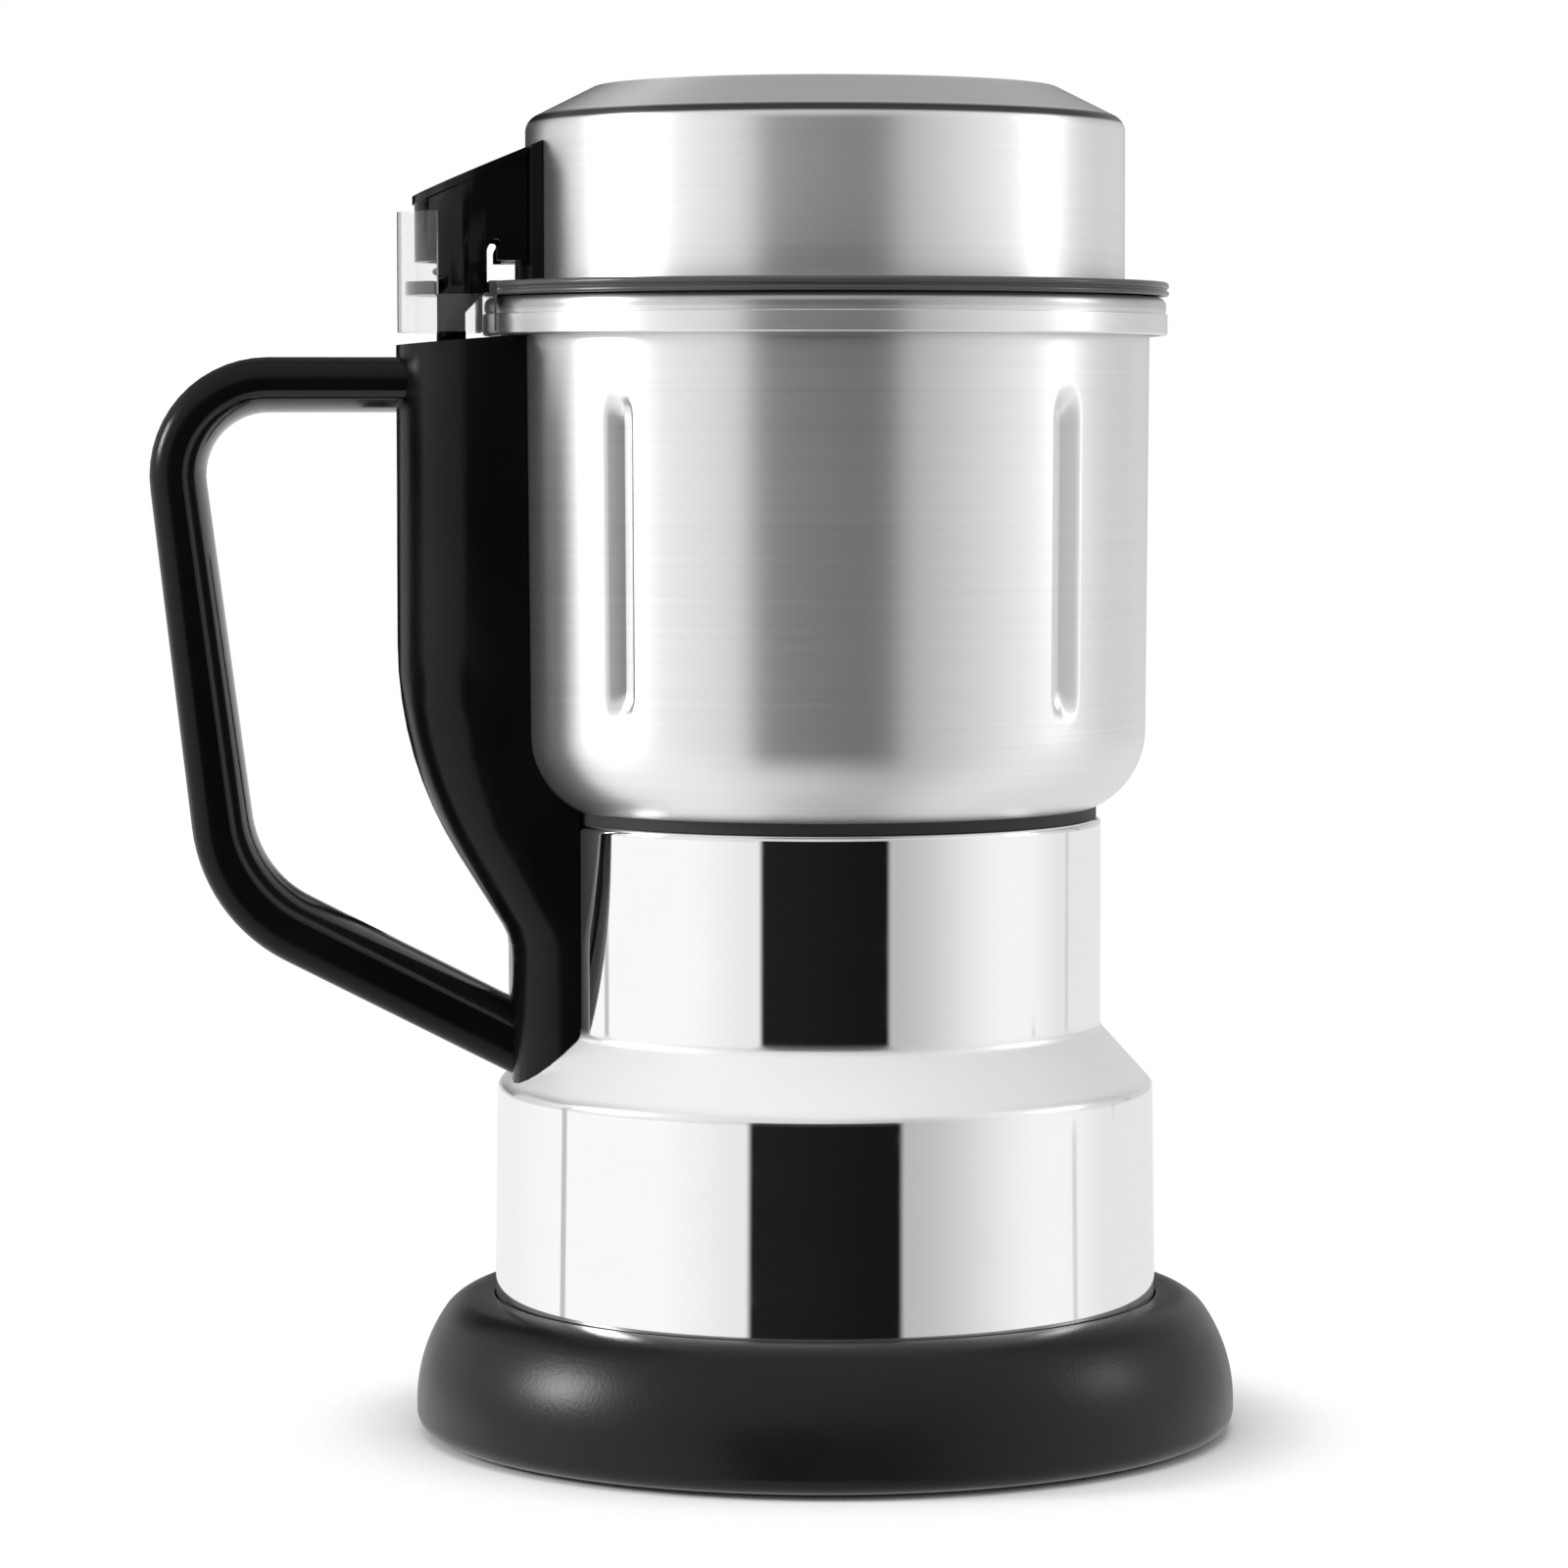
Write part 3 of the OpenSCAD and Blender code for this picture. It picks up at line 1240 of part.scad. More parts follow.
// Outline of the lid's outside down to its foot, taken in by a sheet thickness
module lid_outline(inset) {
    steps = 5;
    flat_z = lid_top_z - dome_crown;
    dome = [for (i = [steps:-1:0]) let (r = dome_r * i / steps)
            [r, flat_z + dome_crown * (1 - i * i / steps / steps) - inset]];
    edge = corner_arc([lid_r - inset, flange_top_z], [lid_r - inset, lid_wall_top_z - inset],
                      [dome_r, flat_z - inset], lid_edge_round, 6);
    polygon(concat([[0, flange_top_z - 1], [lid_r - inset, flange_top_z - 1]], edge, dome));
}

module lid_shell() {
    color([0.8, 0.8, 0.81]) difference() {
        rotate_extrude() difference() {
            lid_outline(0);
            lid_outline(lid_sheet);
        }
        disc(lid_r + 1, flange_top_z - 2, flange_top_z + fit_gap);
    }
}

module lid_liner() {
    top = lid_wall_top_z - 1.8;
    bottom = flange_z - spigot_h;
    color([0.55, 0.57, 0.6, 0.5]) rotate_extrude() difference() {
        polygon(rounded([[0, bottom], [liner_r, bottom], [liner_r, top], [0, top]],
                        [0, 0.4, 2, 0], 4));
        polygon(rounded([[0, bottom - 1], [liner_r - liner_wall, bottom - 1],
                         [liner_r - liner_wall, top - liner_wall], [0, top - liner_wall]],
                        [0, 0, 1.2, 0], 4));
    }
}

// Half of the D-shaped outline of the block, its guard and the tail plate
module tail_outline(reach, half, round_r) {
    mirror([1, 0]) column_section(reach, half, round_r, 30);
}

// The wedge of space under the sloped roof plane, lowered by a depth
module under_roof(depth = 0) {
    end_z = block_z + block_end_h - depth / cos(roof_slope);
    rise = 40 * tan(roof_slope);
    rotate([90, 0, 0]) translate([0, 0, -far / 2]) linear_extrude(far)
        polygon([[-block_reach - 10, 0], [-block_reach + 40, 0],
                 [-block_reach + 40, end_z + rise],
                 [-block_reach - 10, end_z - 10 * tan(roof_slope)]]);
}

module lid_collar() {
    bore = liner_r + seat_gap;
    spigot_r = bowl_in_r - seal_gap - 0.6;
    groove_z = flange_z + 0.6;
    rib_in = rim_r + 0.4;
    rib_half = leg_gap - free_gap;
    guide_half = block_w / 2 + 1.2;
    color([0.09, 0.09, 0.1]) difference() {
        union() {
            rotate_extrude() polygon(rounded(
                [[bore, flange_z - spigot_h + 0.4], [spigot_r, flange_z - spigot_h + 0.4],
                 [spigot_r, flange_z], [flange_r, flange_z], [flange_r, groove_z],
                 [flange_r - 0.3, groove_z + 0.15], [flange_r - 0.3, groove_z + 0.45],
                 [flange_r, groove_z + 0.6], [flange_r, flange_top_z], [bore, flange_top_z]],
                [0, 0.6, 0, 0.3, 0, 0, 0, 0, 0.5, 0], 4));
            intersection() {
                ring(guide_r + guide_t, guide_r, flange_top_z - 1, lid_wall_top_z);
                box([-far, -guide_half, 0], [0, guide_half, far]);
                under_roof();
            }
            intersection() {
                box([-far, -rail_head, 0], [0, rail_head, far]);
                union() {
                    box([-guide_r - guide_t - rail_depth, -rail_neck, rail_z],
                        [-guide_r - guide_t / 2, rail_neck, rail_top_z]);
                    box([-guide_r - guide_t - rail_depth - rail_head_t, -rail_head, rail_z],
                        [-guide_r - guide_t - rail_depth, rail_head, rail_top_z]);
                }
            }
            difference() {
                translate([0, 0, tail_z]) linear_extrude(tail_t)
                    tail_outline(guard_reach - guard_t, guard_half - guard_t, block_round + guard_gap);
                disc(flange_r - 3, 0, far);
            }
            translate([-leg_x, 0, tail_top_z - eps]) cylinder(r = spring_boss_r, h = 3);
            intersection() {
                ring(rib_in + 0.7, rib_in, tail_z - guard_down, tail_z + eps);
                box([-far, -rib_half, 0], [0, rib_half, far]);
            }
        }
        leg_notches();
    }
}

// Room for the legs beside the spine of the tail plate, open to both sides
module leg_notches() {
    for (side = [-1, 1]) scale([1, side, 1])
        box([-(leg_outer_x + free_gap), leg_gap - free_gap, tail_z - 2],
            [-(leg_outer_x - leg_root_t - free_gap), far, tail_top_z + 1]);
}

module lid_seal() {
    spigot_r = bowl_in_r - seal_gap - 0.6;
    top = flange_z - 1;
    color([0.3, 0.3, 0.32]) rotate_extrude() polygon(rounded(
        [[spigot_r + fit_gap, top - 3.4], [spigot_r + 0.3, top - 3.4], [bowl_in_r - seal_gap, top - 1.7],
         [spigot_r + 0.3, top], [spigot_r + fit_gap, top]], [0, 0, 0.2, 0, 0], 3));
}

module press_guard() {
    color([0.9, 0.92, 0.95, 0.4]) intersection() {
        translate([0, 0, tail_z - guard_down]) linear_extrude(guard_down + tail_t + guard_up)
            difference() {
                tail_outline(guard_reach, guard_half, block_round + guard_gap + guard_t);
                tail_outline(guard_reach - guard_t + fit_gap, guard_half - guard_t + fit_gap,
                             block_round + guard_gap);
            }
        difference() {
            union() {
                box([-far, -far, 0], [-leg_outer_x, far, far]);
                box([-far, -far, 0], [0, far, tail_z]);
            }
            disc(flange_r + 0.4, 0, far);
        }
    }
}

module press_block() {
    half = block_w / 2;
    color([0.06, 0.06, 0.06]) union() {
        difference() {
            intersection() {
                translate([0, 0, block_z]) linear_extrude(40)
                    tail_outline(block_reach, half, block_round);
                under_roof();
            }
            disc(block_in_r, 0, far);
            difference() {
                intersection() {
                    translate([0, 0, block_z - 1]) linear_extrude(40)
                        tail_outline(block_reach - block_wall, half - block_wall,
                                     block_round - block_wall);
                    under_roof(roof_t + 0.4);
                }
                disc(block_in_r + block_wall, 0, far);
                legs(block_z, block_z + 4);
            }
            box([-block_in_r - block_wall - 1, -rail_neck - free_gap, 0],
                [0, rail_neck + free_gap, rail_top_z + press_travel + free_gap]);
            leg_relief();
        }
        intersection() {
            difference() {
                translate([0, 0, block_z]) linear_extrude(40)
                    tail_outline(block_reach + roof_eave, half + roof_eave, block_round + roof_eave);
                disc(block_in_r, 0, far);
            }
            difference() {
                under_roof();
                under_roof(roof_t);
            }
        }
        legs(leg_end_z, block_z + 4);
    }
}

// A slot beside the roots of the legs, open to both sides, that leans inwards at its top
module leg_relief() {
    x = -(leg_outer_x - leg_root_t);
    rotate([90, 0, 0]) translate([0, 0, -far / 2]) linear_extrude(far) polygon(rounded(
        [[x, block_z - 1], [x, block_z + slot_h - slot_w], [x + 0.8, block_z + slot_h],
         [x + slot_w + 0.7, block_z + slot_h], [x + slot_w, block_z + slot_h - slot_w],
         [x + slot_w, block_z - 1]], [0, 1.2, 0.4, 0.4, 0.8, 0], 3));
}

// The two legs: thick above the tail plate, then stepped back by a chamfer
module legs(z0, z1) {
    knee_z = tail_z + 0.5;
    step = leg_root_t - leg_t;
    intersection() {
        translate([0, 0, z0]) linear_extrude(z1 - z0)
            tail_outline(block_reach, block_w / 2, block_round);
        for (side = [-1, 1]) scale([1, side, 1]) translate([0, far + leg_gap, 0])
            rotate([90, 0, 0]) linear_extrude(far) polygon(
                [[-leg_outer_x, z0], [-leg_inner_x, z0], [-leg_inner_x, knee_z - step],
                 [-leg_inner_x + step, knee_z], [-leg_inner_x + step, z1], [-leg_outer_x, z1]]);
    }
}

module press_spring() {
    ceiling = block_z + block_end_h + (block_reach - leg_x - 3) * tan(roof_slope)
        - (roof_t + 0.4) / cos(roof_slope);
    color([0.7, 0.7, 0.7]) translate([-leg_x, 0, 0])
        coil_spring(press_spring_r, spring_wire, tail_top_z + 0.1, ceiling - 0.1, 5, 6, 14);
}

// ---------------------------------------------------------------- nodes

base_skirt();
bottom_cover();
foot_ring();
cover_screws();
cord_gland();
motor_housing();
bowl();
bowl_gasket();
bowl_screws();
shaft_seal();
upper_bracket();
rubber_mounts();
upper_bearing();
stator_core();
field_coils();
lower_bracket();
lower_bearing();
motor_bolts();
brush_card();
brush_holders();
carbon_brushes();
brush_springs();
terminal_block();
switch_leads();
handle_column();
column_screws();
handle_loop();
handle_strip();
microswitch();
plunger_spring();
motor_shaft();
rotor_core();
rotor_windings();
commutator();
cooling_fan();
blade_hub();
lower_blade();
upper_blade();
blade_nut();
lid_shell();
lid_liner();
lid_collar();
lid_seal();
press_guard();
press_spring();
press_block();
safety_plunger();
switch_pin();
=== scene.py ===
# %% [markdown]
# # An electric spice grinder, dressed for the studio
#
# The construction comes in as a fixed frame of solids, one per real piece. This script gives
# those pieces their looks. Turned and drawn sheet metal is spun again here with more steps than
# the solids have, because polished steel shows every facet. Moulded parts are welded and shaded
# smooth, and each finish is a small network of nodes. All lengths are written in millimetres,
# and `MM` turns them into Blender's metres.

# %% Load the frame
import math
from collections import namedtuple

import bmesh
import bpy
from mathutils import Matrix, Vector


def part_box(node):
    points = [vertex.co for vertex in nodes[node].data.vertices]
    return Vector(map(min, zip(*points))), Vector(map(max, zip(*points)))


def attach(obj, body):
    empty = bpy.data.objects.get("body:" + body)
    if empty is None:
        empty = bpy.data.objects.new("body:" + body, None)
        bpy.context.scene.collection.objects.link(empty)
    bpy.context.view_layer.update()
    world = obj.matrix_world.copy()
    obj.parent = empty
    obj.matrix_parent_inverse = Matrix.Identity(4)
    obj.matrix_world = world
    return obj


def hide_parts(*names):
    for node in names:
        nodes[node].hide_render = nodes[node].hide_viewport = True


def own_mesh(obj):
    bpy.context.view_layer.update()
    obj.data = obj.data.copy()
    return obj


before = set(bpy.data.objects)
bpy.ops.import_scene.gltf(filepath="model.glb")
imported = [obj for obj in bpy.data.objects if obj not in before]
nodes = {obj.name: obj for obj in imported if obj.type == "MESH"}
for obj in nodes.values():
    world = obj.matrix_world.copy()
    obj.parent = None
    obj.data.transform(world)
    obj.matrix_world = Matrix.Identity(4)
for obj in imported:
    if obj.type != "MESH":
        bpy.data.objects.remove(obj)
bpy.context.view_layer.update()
MM = 0.001

# %% [markdown]
# ## Driving sizes
#
# The frame says how wide and how high each turned part is, so those sizes are read from it. The
# rest follows from them by small steps inwards, outwards or up, and each step has a name. Pieces
# that are drawn again below start from these numbers.

# %% Steps between neighbouring sizes
CREST_STEP = 1.8  # the base's crest, outside the housing
TIER_TAPER = 0.45  # how much the housing's lower tier narrows on its way up
TIER_STEP = 8.1  # the upper tier, inside the lower one
TIER_H = 30.6  # the lower tier, above the base's crest
SHOULDER_H = 8.4
RIM_STEP = 2.6  # the rim's band, outside the bowl's wall
WALL_TAPER = 0.4  # how much the bowl narrows towards its foot
WALL_H = 69.2  # the bowl, from its foot to the rim's band
LID_EDGE_H = 5.6  # from the top of the lid's wall to the top of its dome
LID_EDGE_W = 10.0  # the cone between the lid's wall and its dome
print("lower tier", TIER_H, "mm high, shoulder", SHOULDER_H, "mm high")


# %% Sizes read from the frame
def extent(node):
    """Largest radius, lowest and highest z of a turned solid, in millimetres."""
    low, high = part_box(node)
    return high[0] / MM, low[2] / MM, high[2] / MM


base_r, skirt_z, crest_z = extent("base_skirt")
housing_r, housing_z, housing_top = extent("motor_housing")
rim_r, bowl_z, rim_top = extent("bowl")
lid_r, lid_z, lid_top = extent("lid_shell")
crest_r = housing_r + CREST_STEP
low_top_r, neck_r = housing_r - TIER_TAPER, housing_r - TIER_STEP
shoulder_z = crest_z + TIER_H
shoulder_top = shoulder_z + SHOULDER_H
bowl_r = rim_r - RIM_STEP
bowl_foot_r = bowl_r - WALL_TAPER
rim_z = bowl_z + WALL_H
wall_top = lid_top - LID_EDGE_H
dome_r = lid_r - LID_EDGE_W
print("radii:", [round(r, 2) for r in (base_r, housing_r, neck_r, bowl_r, lid_r)])
print("heights:", [round(z, 2) for z in (crest_z, shoulder_z, housing_top, rim_z, lid_top)])

# %% [markdown]
# ## Shader maths as Python
#
# A finish is easier to read as `grain * 0.2 + 0.1` than as a drawing of boxes and links. The
# class `Value` wraps one output socket. Each Python operator on it adds a Math node. Everything
# that is not plain maths goes through one method, `Finish.node`, which sets a node's own
# settings first and its sockets after.


# %% Value and Finish
class Value:
    """A number that varies over a surface."""

    def __init__(self, finish, socket):
        self.finish = finish
        self.socket = socket

    def maths(self, operation, *others):
        inputs = dict(enumerate((self,) + others))
        return self.finish.node("ShaderNodeMath", {"operation": operation}, inputs)

    def __add__(self, other):
        return self.maths("ADD", other)

    def __radd__(self, other):
        return self + other

    def __sub__(self, other):
        return self.maths("SUBTRACT", other)

    def __rsub__(self, other):
        return self * -1.0 + other

    def __mul__(self, other):
        return self.maths("MULTIPLY", other)

    def __rmul__(self, other):
        return self * other

    def clamp(self, low=0.0, high=1.0):
        return self.maths("MAXIMUM", low).maths("MINIMUM", high)

    def step(self, start, end):
        """Rises smoothly from 0 at start to 1 at end."""
        return self.finish.node(
            "ShaderNodeMapRange",
            {"interpolation_type": "SMOOTHSTEP"},
            {"Value": self, "From Min": start, "From Max": end},
        )

    def between(self, start, end, soft):
        """1 between start and end, 0 outside, with soft borders."""
        return self.step(start - soft, start + soft) * (1 - self.step(end - soft, end + soft))


class Finish:
    """A node tree of a material or of the world, built from Python expressions."""

    def __init__(self, tree):
        self.tree = tree
        tree.nodes.clear()

    def node(self, kind, settings=None, inputs=None, output=0):
        """Adds a node and gives one of its outputs."""
        made = self.tree.nodes.new(kind)
        for name, setting in (settings or {}).items():
            setattr(made, name, setting)
        for name, value in (inputs or {}).items():
            if isinstance(value, Value):
                self.tree.links.new(value.socket, made.inputs[name])
            else:
                made.inputs[name].default_value = value
        return Value(self, made.outputs[output]) if len(made.outputs) else None

    def place(self, scale=(1, 1, 1)):
        """The point on the object, in metres, stretched along the axes."""
        here = self.node("ShaderNodeTexCoord", output="Object")
        return self.node("ShaderNodeMapping", inputs={"Vector": here, "Scale": scale})

    def part_of(self, vector, axis):
        """One coordinate of a vector."""
        return self.node("ShaderNodeSeparateXYZ", inputs={"Vector": vector}, output=axis)

    def noise(self, vector, scale, detail=3.0):
        """Soft random mottling with about `scale` patches to the metre."""
        inputs = {"Vector": vector, "Scale": scale, "Detail": detail, "Roughness": 0.55}
        return self.node("ShaderNodeTexNoise", inputs=inputs)

    def blend(self, amount, low, high):
        """A colour that goes from low to high as amount goes from 0 to 1."""
        settings = {"data_type": "RGBA"}
        inputs = {0: amount, 6: low, 7: high}
        return self.node("ShaderNodeMix", settings, inputs, output=2)

    def bump(self, height, depth, strength=1.0):
        """Tilts the surface as a relief of this depth, in millimetres, would."""
        inputs = {"Height": height, "Distance": depth * MM, "Strength": strength}
        return self.node("ShaderNodeBump", inputs=inputs)

    def ray(self, kind):
        """1 for rays of one kind, such as Is Glossy Ray, and 0 for the others."""
        return self.node("ShaderNodeLightPath", output=kind)

    def surface(self, **sockets):
        """Puts one Principled shader with these sockets on the output."""
        names = {name.replace("_", " "): value for name, value in sockets.items()}
        shader = self.node("ShaderNodeBsdfPrincipled", inputs=names)
        self.node("ShaderNodeOutputMaterial", inputs={"Surface": shader})


def new_finish(name):
    material = bpy.data.materials.new(name)
    material.use_nodes = True
    return material, Finish(material.node_tree)


def opaque(colour, shade=1.0, lift=0.0):
    """A colour with full alpha, made darker or lighter."""
    return tuple(c * shade + lift for c in colour) + (1.0,)


def grey(level):
    return opaque((level, level, level))


print("finish helpers ready")

# %% [markdown]
# ## Steel: polished, brushed and plain
#
# All the steel here is one metal with three surfaces. The housing is mirror polished, so its
# roughness is tiny and a slow noise adds only the faint waviness of drawn sheet. Its shoulder
# was stretched by the press, and a polishing wheel doesn't reach it, so it is satin and scatters
# part of its light like a white surface. The bowl and lid are brushed on a lathe: the scratches
# run round the axis. Stretching a noise flat gives those scratches. Rings of height are painted
# another grey as painted reflections: the lid's rounded edge, its cone and its dome and the
# bowl's rolled lip are painted darker where they would mirror the dark parts of the studio.
#
# Light bounces off a scratch sideways to it, so scratches that run round the axis smear every
# reflection up and down. The Anisotropic socket smears along the tangent, and the default
# tangent runs round Z. A rotation of 0.25 is a quarter turn, which sets the smear upright.

# %% Steel finishes
SATIN_LOW, SATIN_HIGH, SATIN_FADE = shoulder_z + 0.2, shoulder_top + 0.4, 1.2
SATIN_WHITE, SATIN_ROUGHNESS = 0.6, 0.36
MIRROR_ROUGHNESS = 0.035
FINE_SCRATCHES, LONG_SCRATCHES = (10, 10, 2600), (4, 4, 900)
# Painted reflections: the soft border of each ring of height that is painted another grey.
PAINTED_RING_FADE = 0.25
PaintedRing = namedtuple("PaintedRing", "low high amount level")


def polished_steel():
    material, f = new_finish("polished_steel")
    waviness = f.noise(f.place(scale=(1, 1, 0.35)), 45.0, detail=1.0)
    smear = f.noise(f.place(scale=(1, 1, 2.5)), 60.0, detail=4.0)
    height = f.part_of(f.place(), "Z")
    shoulder = height.between(SATIN_LOW * MM, SATIN_HIGH * MM, SATIN_FADE * MM)
    wiped = smear.step(0.45, 0.8) * 0.03
    f.surface(
        Base_Color=f.blend(smear, opaque((0.93, 0.93, 0.935)), grey(0.96)),
        Metallic=1 - shoulder * SATIN_WHITE,
        Roughness=wiped + shoulder * SATIN_ROUGHNESS + MIRROR_ROUGHNESS,
        Normal=f.bump(waviness, 0.06),
    )
    return material


def brushed_steel(name, level, roughness, painted_rings):
    """Steel brushed round its axis. Each painted ring is a range of heights painted its own grey,
    a painted reflection.
    """
    material, f = new_finish(name)
    scratches = f.noise(f.place(scale=FINE_SCRATCHES), 1.0, detail=2.0)
    long_scratches = f.noise(f.place(scale=LONG_SCRATCHES), 1.0, detail=3.0)
    cloud = f.noise(f.place(), 30.0, detail=2.0)
    streak = scratches * 0.6 + long_scratches * 0.4
    shade = (streak - 0.5) * 0.9 + 0.5
    colour = f.blend(shade.clamp(), grey(level - 0.1), grey(level + 0.05))
    height = f.part_of(f.place(), "Z")
    # Painted reflections: each ring of height is painted in its own darker grey.
    for painted_ring in painted_rings:
        inside = height.between(painted_ring.low * MM, painted_ring.high * MM, PAINTED_RING_FADE * MM)
        colour = f.blend(inside * painted_ring.amount, colour, grey(painted_ring.level))
    f.surface(
        Base_Color=colour,
        Metallic=1.0,
        Roughness=(streak * 0.06 + cloud * 0.03 + roughness).clamp(0.05, 0.9),
        Anisotropic=0.75,
        Anisotropic_Rotation=0.25,
        Normal=f.bump(streak, 0.02, 0.3),
    )
    return material


def plain_metal(name, colour, roughness, grain_depth=0.02):
    """Metal with a fine mottle, darker and smoother in the low places."""
    material, f = new_finish(name)
    mottle = f.noise(f.place(), 350.0)
    f.surface(
        Base_Color=f.blend(mottle, opaque(colour, 0.82), opaque(colour)),
        Metallic=1.0,
        Roughness=mottle * 0.18 + roughness,
        Normal=f.bump(mottle, grain_depth),
    )
    return material


# Painted reflections: darker greys on the bowl's lip and the lid's round, cone and dome stand in
# for dark parts of the studio mirrored there.
lip_painted_reflection = PaintedRing(low=rim_top - 1.9, high=rim_top - 0.1, amount=0.4, level=0.25)
lid_round_painted_reflection = PaintedRing(low=wall_top - 0.45, high=wall_top + 0.65, amount=0.95, level=0.03)
lid_cone_painted_reflection = PaintedRing(low=wall_top + 0.9, high=lid_top - 0.75, amount=0.25, level=0.45)
lid_dome_painted_reflection = PaintedRing(low=lid_top - 0.45, high=lid_top + 1, amount=0.6, level=0.15)
polished = polished_steel()
brushed_bowl = brushed_steel("brushed_bowl_steel", 0.87, 0.30, [lip_painted_reflection])
brushed_lid = brushed_steel("brushed_lid_steel", 0.94, 0.34, [lid_round_painted_reflection, lid_cone_painted_reflection, lid_dome_painted_reflection])
zinc = plain_metal("zinc_plated_steel", (0.68, 0.68, 0.70), 0.28)
spring_wire = plain_metal("spring_wire", (0.55, 0.55, 0.57), 0.3)
blade_steel = plain_metal("ground_blade_steel", (0.80, 0.81, 0.82), 0.16)
cast_alloy = plain_metal("cast_alloy", (0.60, 0.61, 0.63), 0.45, grain_depth=0.1)
bronze = plain_metal("sintered_bronze", (0.66, 0.46, 0.24), 0.4)
copper = plain_metal("copper_wire", (0.78, 0.36, 0.18), 0.3)
brass = plain_metal("brass_sheet", (0.80, 0.62, 0.30), 0.25)
print("steel finishes:", polished.name, brushed_bowl.name, brushed_lid.name)

# %% [markdown]
# ## Plastics and rubber
#
# Black plastic is never just black. The handle is a glossy moulding: a low roughness gives it
# the crisp grazing reflections of a polished mould, and a very fine noise keeps them from
# looking like glass. The base comes from a spark-eroded mould, so its skin is a fine grain that
# spreads highlights wide. Both use the same recipe with other numbers: the colour, the
# roughness, how many grains fit in a metre, and how deep they are in millimetres.

# %% Plastic finishes
# Painted light: an underside can be painted a lighter grey below an edge.
PaintedUnderside = namedtuple("PaintedUnderside", "edge fade level")


def moulded_plastic(name, colour, roughness, grains, grain_depth, shine=0.5, underside=None):
    """Moulded plastic. Below the edge of an underside it is painted another grey, as painted
    light.
    """
    material, f = new_finish(name)
    grain = f.noise(f.place(), grains, detail=2.0)
    handling = f.noise(f.place(), 55.0, detail=4.0)
    skin_colour = f.blend(handling, opaque(colour), opaque(colour, 1.35, 0.003))
    # Painted light: below the edge, the surface takes the underside's painted grey.
    if underside:
        start, end = underside.edge - underside.fade, underside.edge + underside.fade
        lower = 1 - f.part_of(f.place(), "Z").step(start * MM, end * MM)
        skin_colour = f.blend(lower, skin_colour, grey(underside.level))
    f.surface(
        Base_Color=skin_colour,
        Roughness=(handling.step(0.35, 0.75) * 0.08 + roughness).clamp(),
        Specular_IOR_Level=shine,
        Normal=f.bump(grain, grain_depth),
    )
    return material


def clear_plastic(name, tint, roughness, bending):
    """Clear plastic with a faint haze. Its bending of light is its index of refraction."""
    material, f = new_finish(name)
    haze = f.noise(f.place(), 120.0)
    f.surface(
        Base_Color=f.blend(haze, opaque(tint), grey(0.97)),
        Roughness=haze * 0.06 + roughness,
        Transmission_Weight=1.0,
        IOR=bending,
    )
    return material


handle_black = moulded_plastic("handle_black", (0.002, 0.002, 0.002), 0.2, 900, 0.01, shine=0.2)
base_black = moulded_plastic("base_black", (0.005, 0.005, 0.005), 0.3, 1500, 0.02, shine=0.27)
strip_black = moulded_plastic("strip_black", (0.006, 0.006, 0.006), 0.12, 900, 0.01)
# Painted light: the flange's underside, seen from below, is painted a lighter grey than its black.
flange_painted_underside = PaintedUnderside(edge=lid_z + 0.1, fade=0.1, level=0.075)
collar_black = moulded_plastic(
    "collar_black", (0.006, 0.006, 0.006), 0.2, 700, 0.01, 0.4, flange_painted_underside
)
rubber = moulded_plastic("black_rubber", (0.012, 0.012, 0.012), 0.6, 1800, 0.05)
silicone = moulded_plastic("silicone_seal", (0.55, 0.55, 0.53), 0.4, 800, 0.02)
cream = moulded_plastic("cream_plastic", (0.74, 0.71, 0.62), 0.35, 700, 0.02)
red = moulded_plastic("red_plastic", (0.50, 0.05, 0.03), 0.3, 700, 0.01)
carbon = moulded_plastic("pressed_carbon", (0.02, 0.02, 0.02), 0.55, 2200, 0.08)
card_brown = moulded_plastic("insulating_card", (0.30, 0.17, 0.08), 0.45, 500, 0.03)
lamination = moulded_plastic("lacquered_sheets", (0.10, 0.10, 0.11), 0.35, 900, 0.03)
wire_white = moulded_plastic("wire_insulation", (0.75, 0.75, 0.71), 0.35, 900, 0.01)
clear = clear_plastic("clear_guard_plastic", (0.92, 0.94, 0.95), 0.03, bending=1.36)
clear_liner = clear_plastic("clear_liner_plastic", (0.85, 0.88, 0.90), 0.06, bending=1.45)
print("plastic finishes:", handle_black.name, base_black.name, clear.name)

# %% [markdown]
# ## Camera
#
# The view is a product shot from the front with a long lens, a little above the base and a few
# degrees round towards the handle. Distance, height, tilt and lens are plain values. A small
# sideways shift puts the grinder right of the middle.

# %% Camera
CAMERA_TURN = math.radians(4.7)
CAMERA_DISTANCE = 815.6 * MM
CAMERA_HEIGHT = 148.7 * MM
CAMERA_TILT = math.radians(3.82)
CAMERA_LENS = 128.6
CAMERA_SENSOR = 36.0
CAMERA_SHIFT = -0.02625
CAMERA_NEAR = 10 * MM

view = bpy.data.cameras.new("product_lens")
view.lens = CAMERA_LENS
view.sensor_width = CAMERA_SENSOR
view.shift_x = CAMERA_SHIFT
view.clip_start = CAMERA_NEAR
camera = bpy.data.objects.new("camera", view)
bpy.context.scene.collection.objects.link(camera)
camera.location = (
    -CAMERA_DISTANCE * math.sin(CAMERA_TURN),
    -CAMERA_DISTANCE * math.cos(CAMERA_TURN),
    CAMERA_HEIGHT,
)
camera.rotation_euler = (math.pi / 2 - CAMERA_TILT, 0, -CAMERA_TURN)
bpy.context.scene.camera = camera
bpy.context.scene.view_settings.view_transform = "Standard"
print("camera at", [round(v, 3) for v in camera.location])

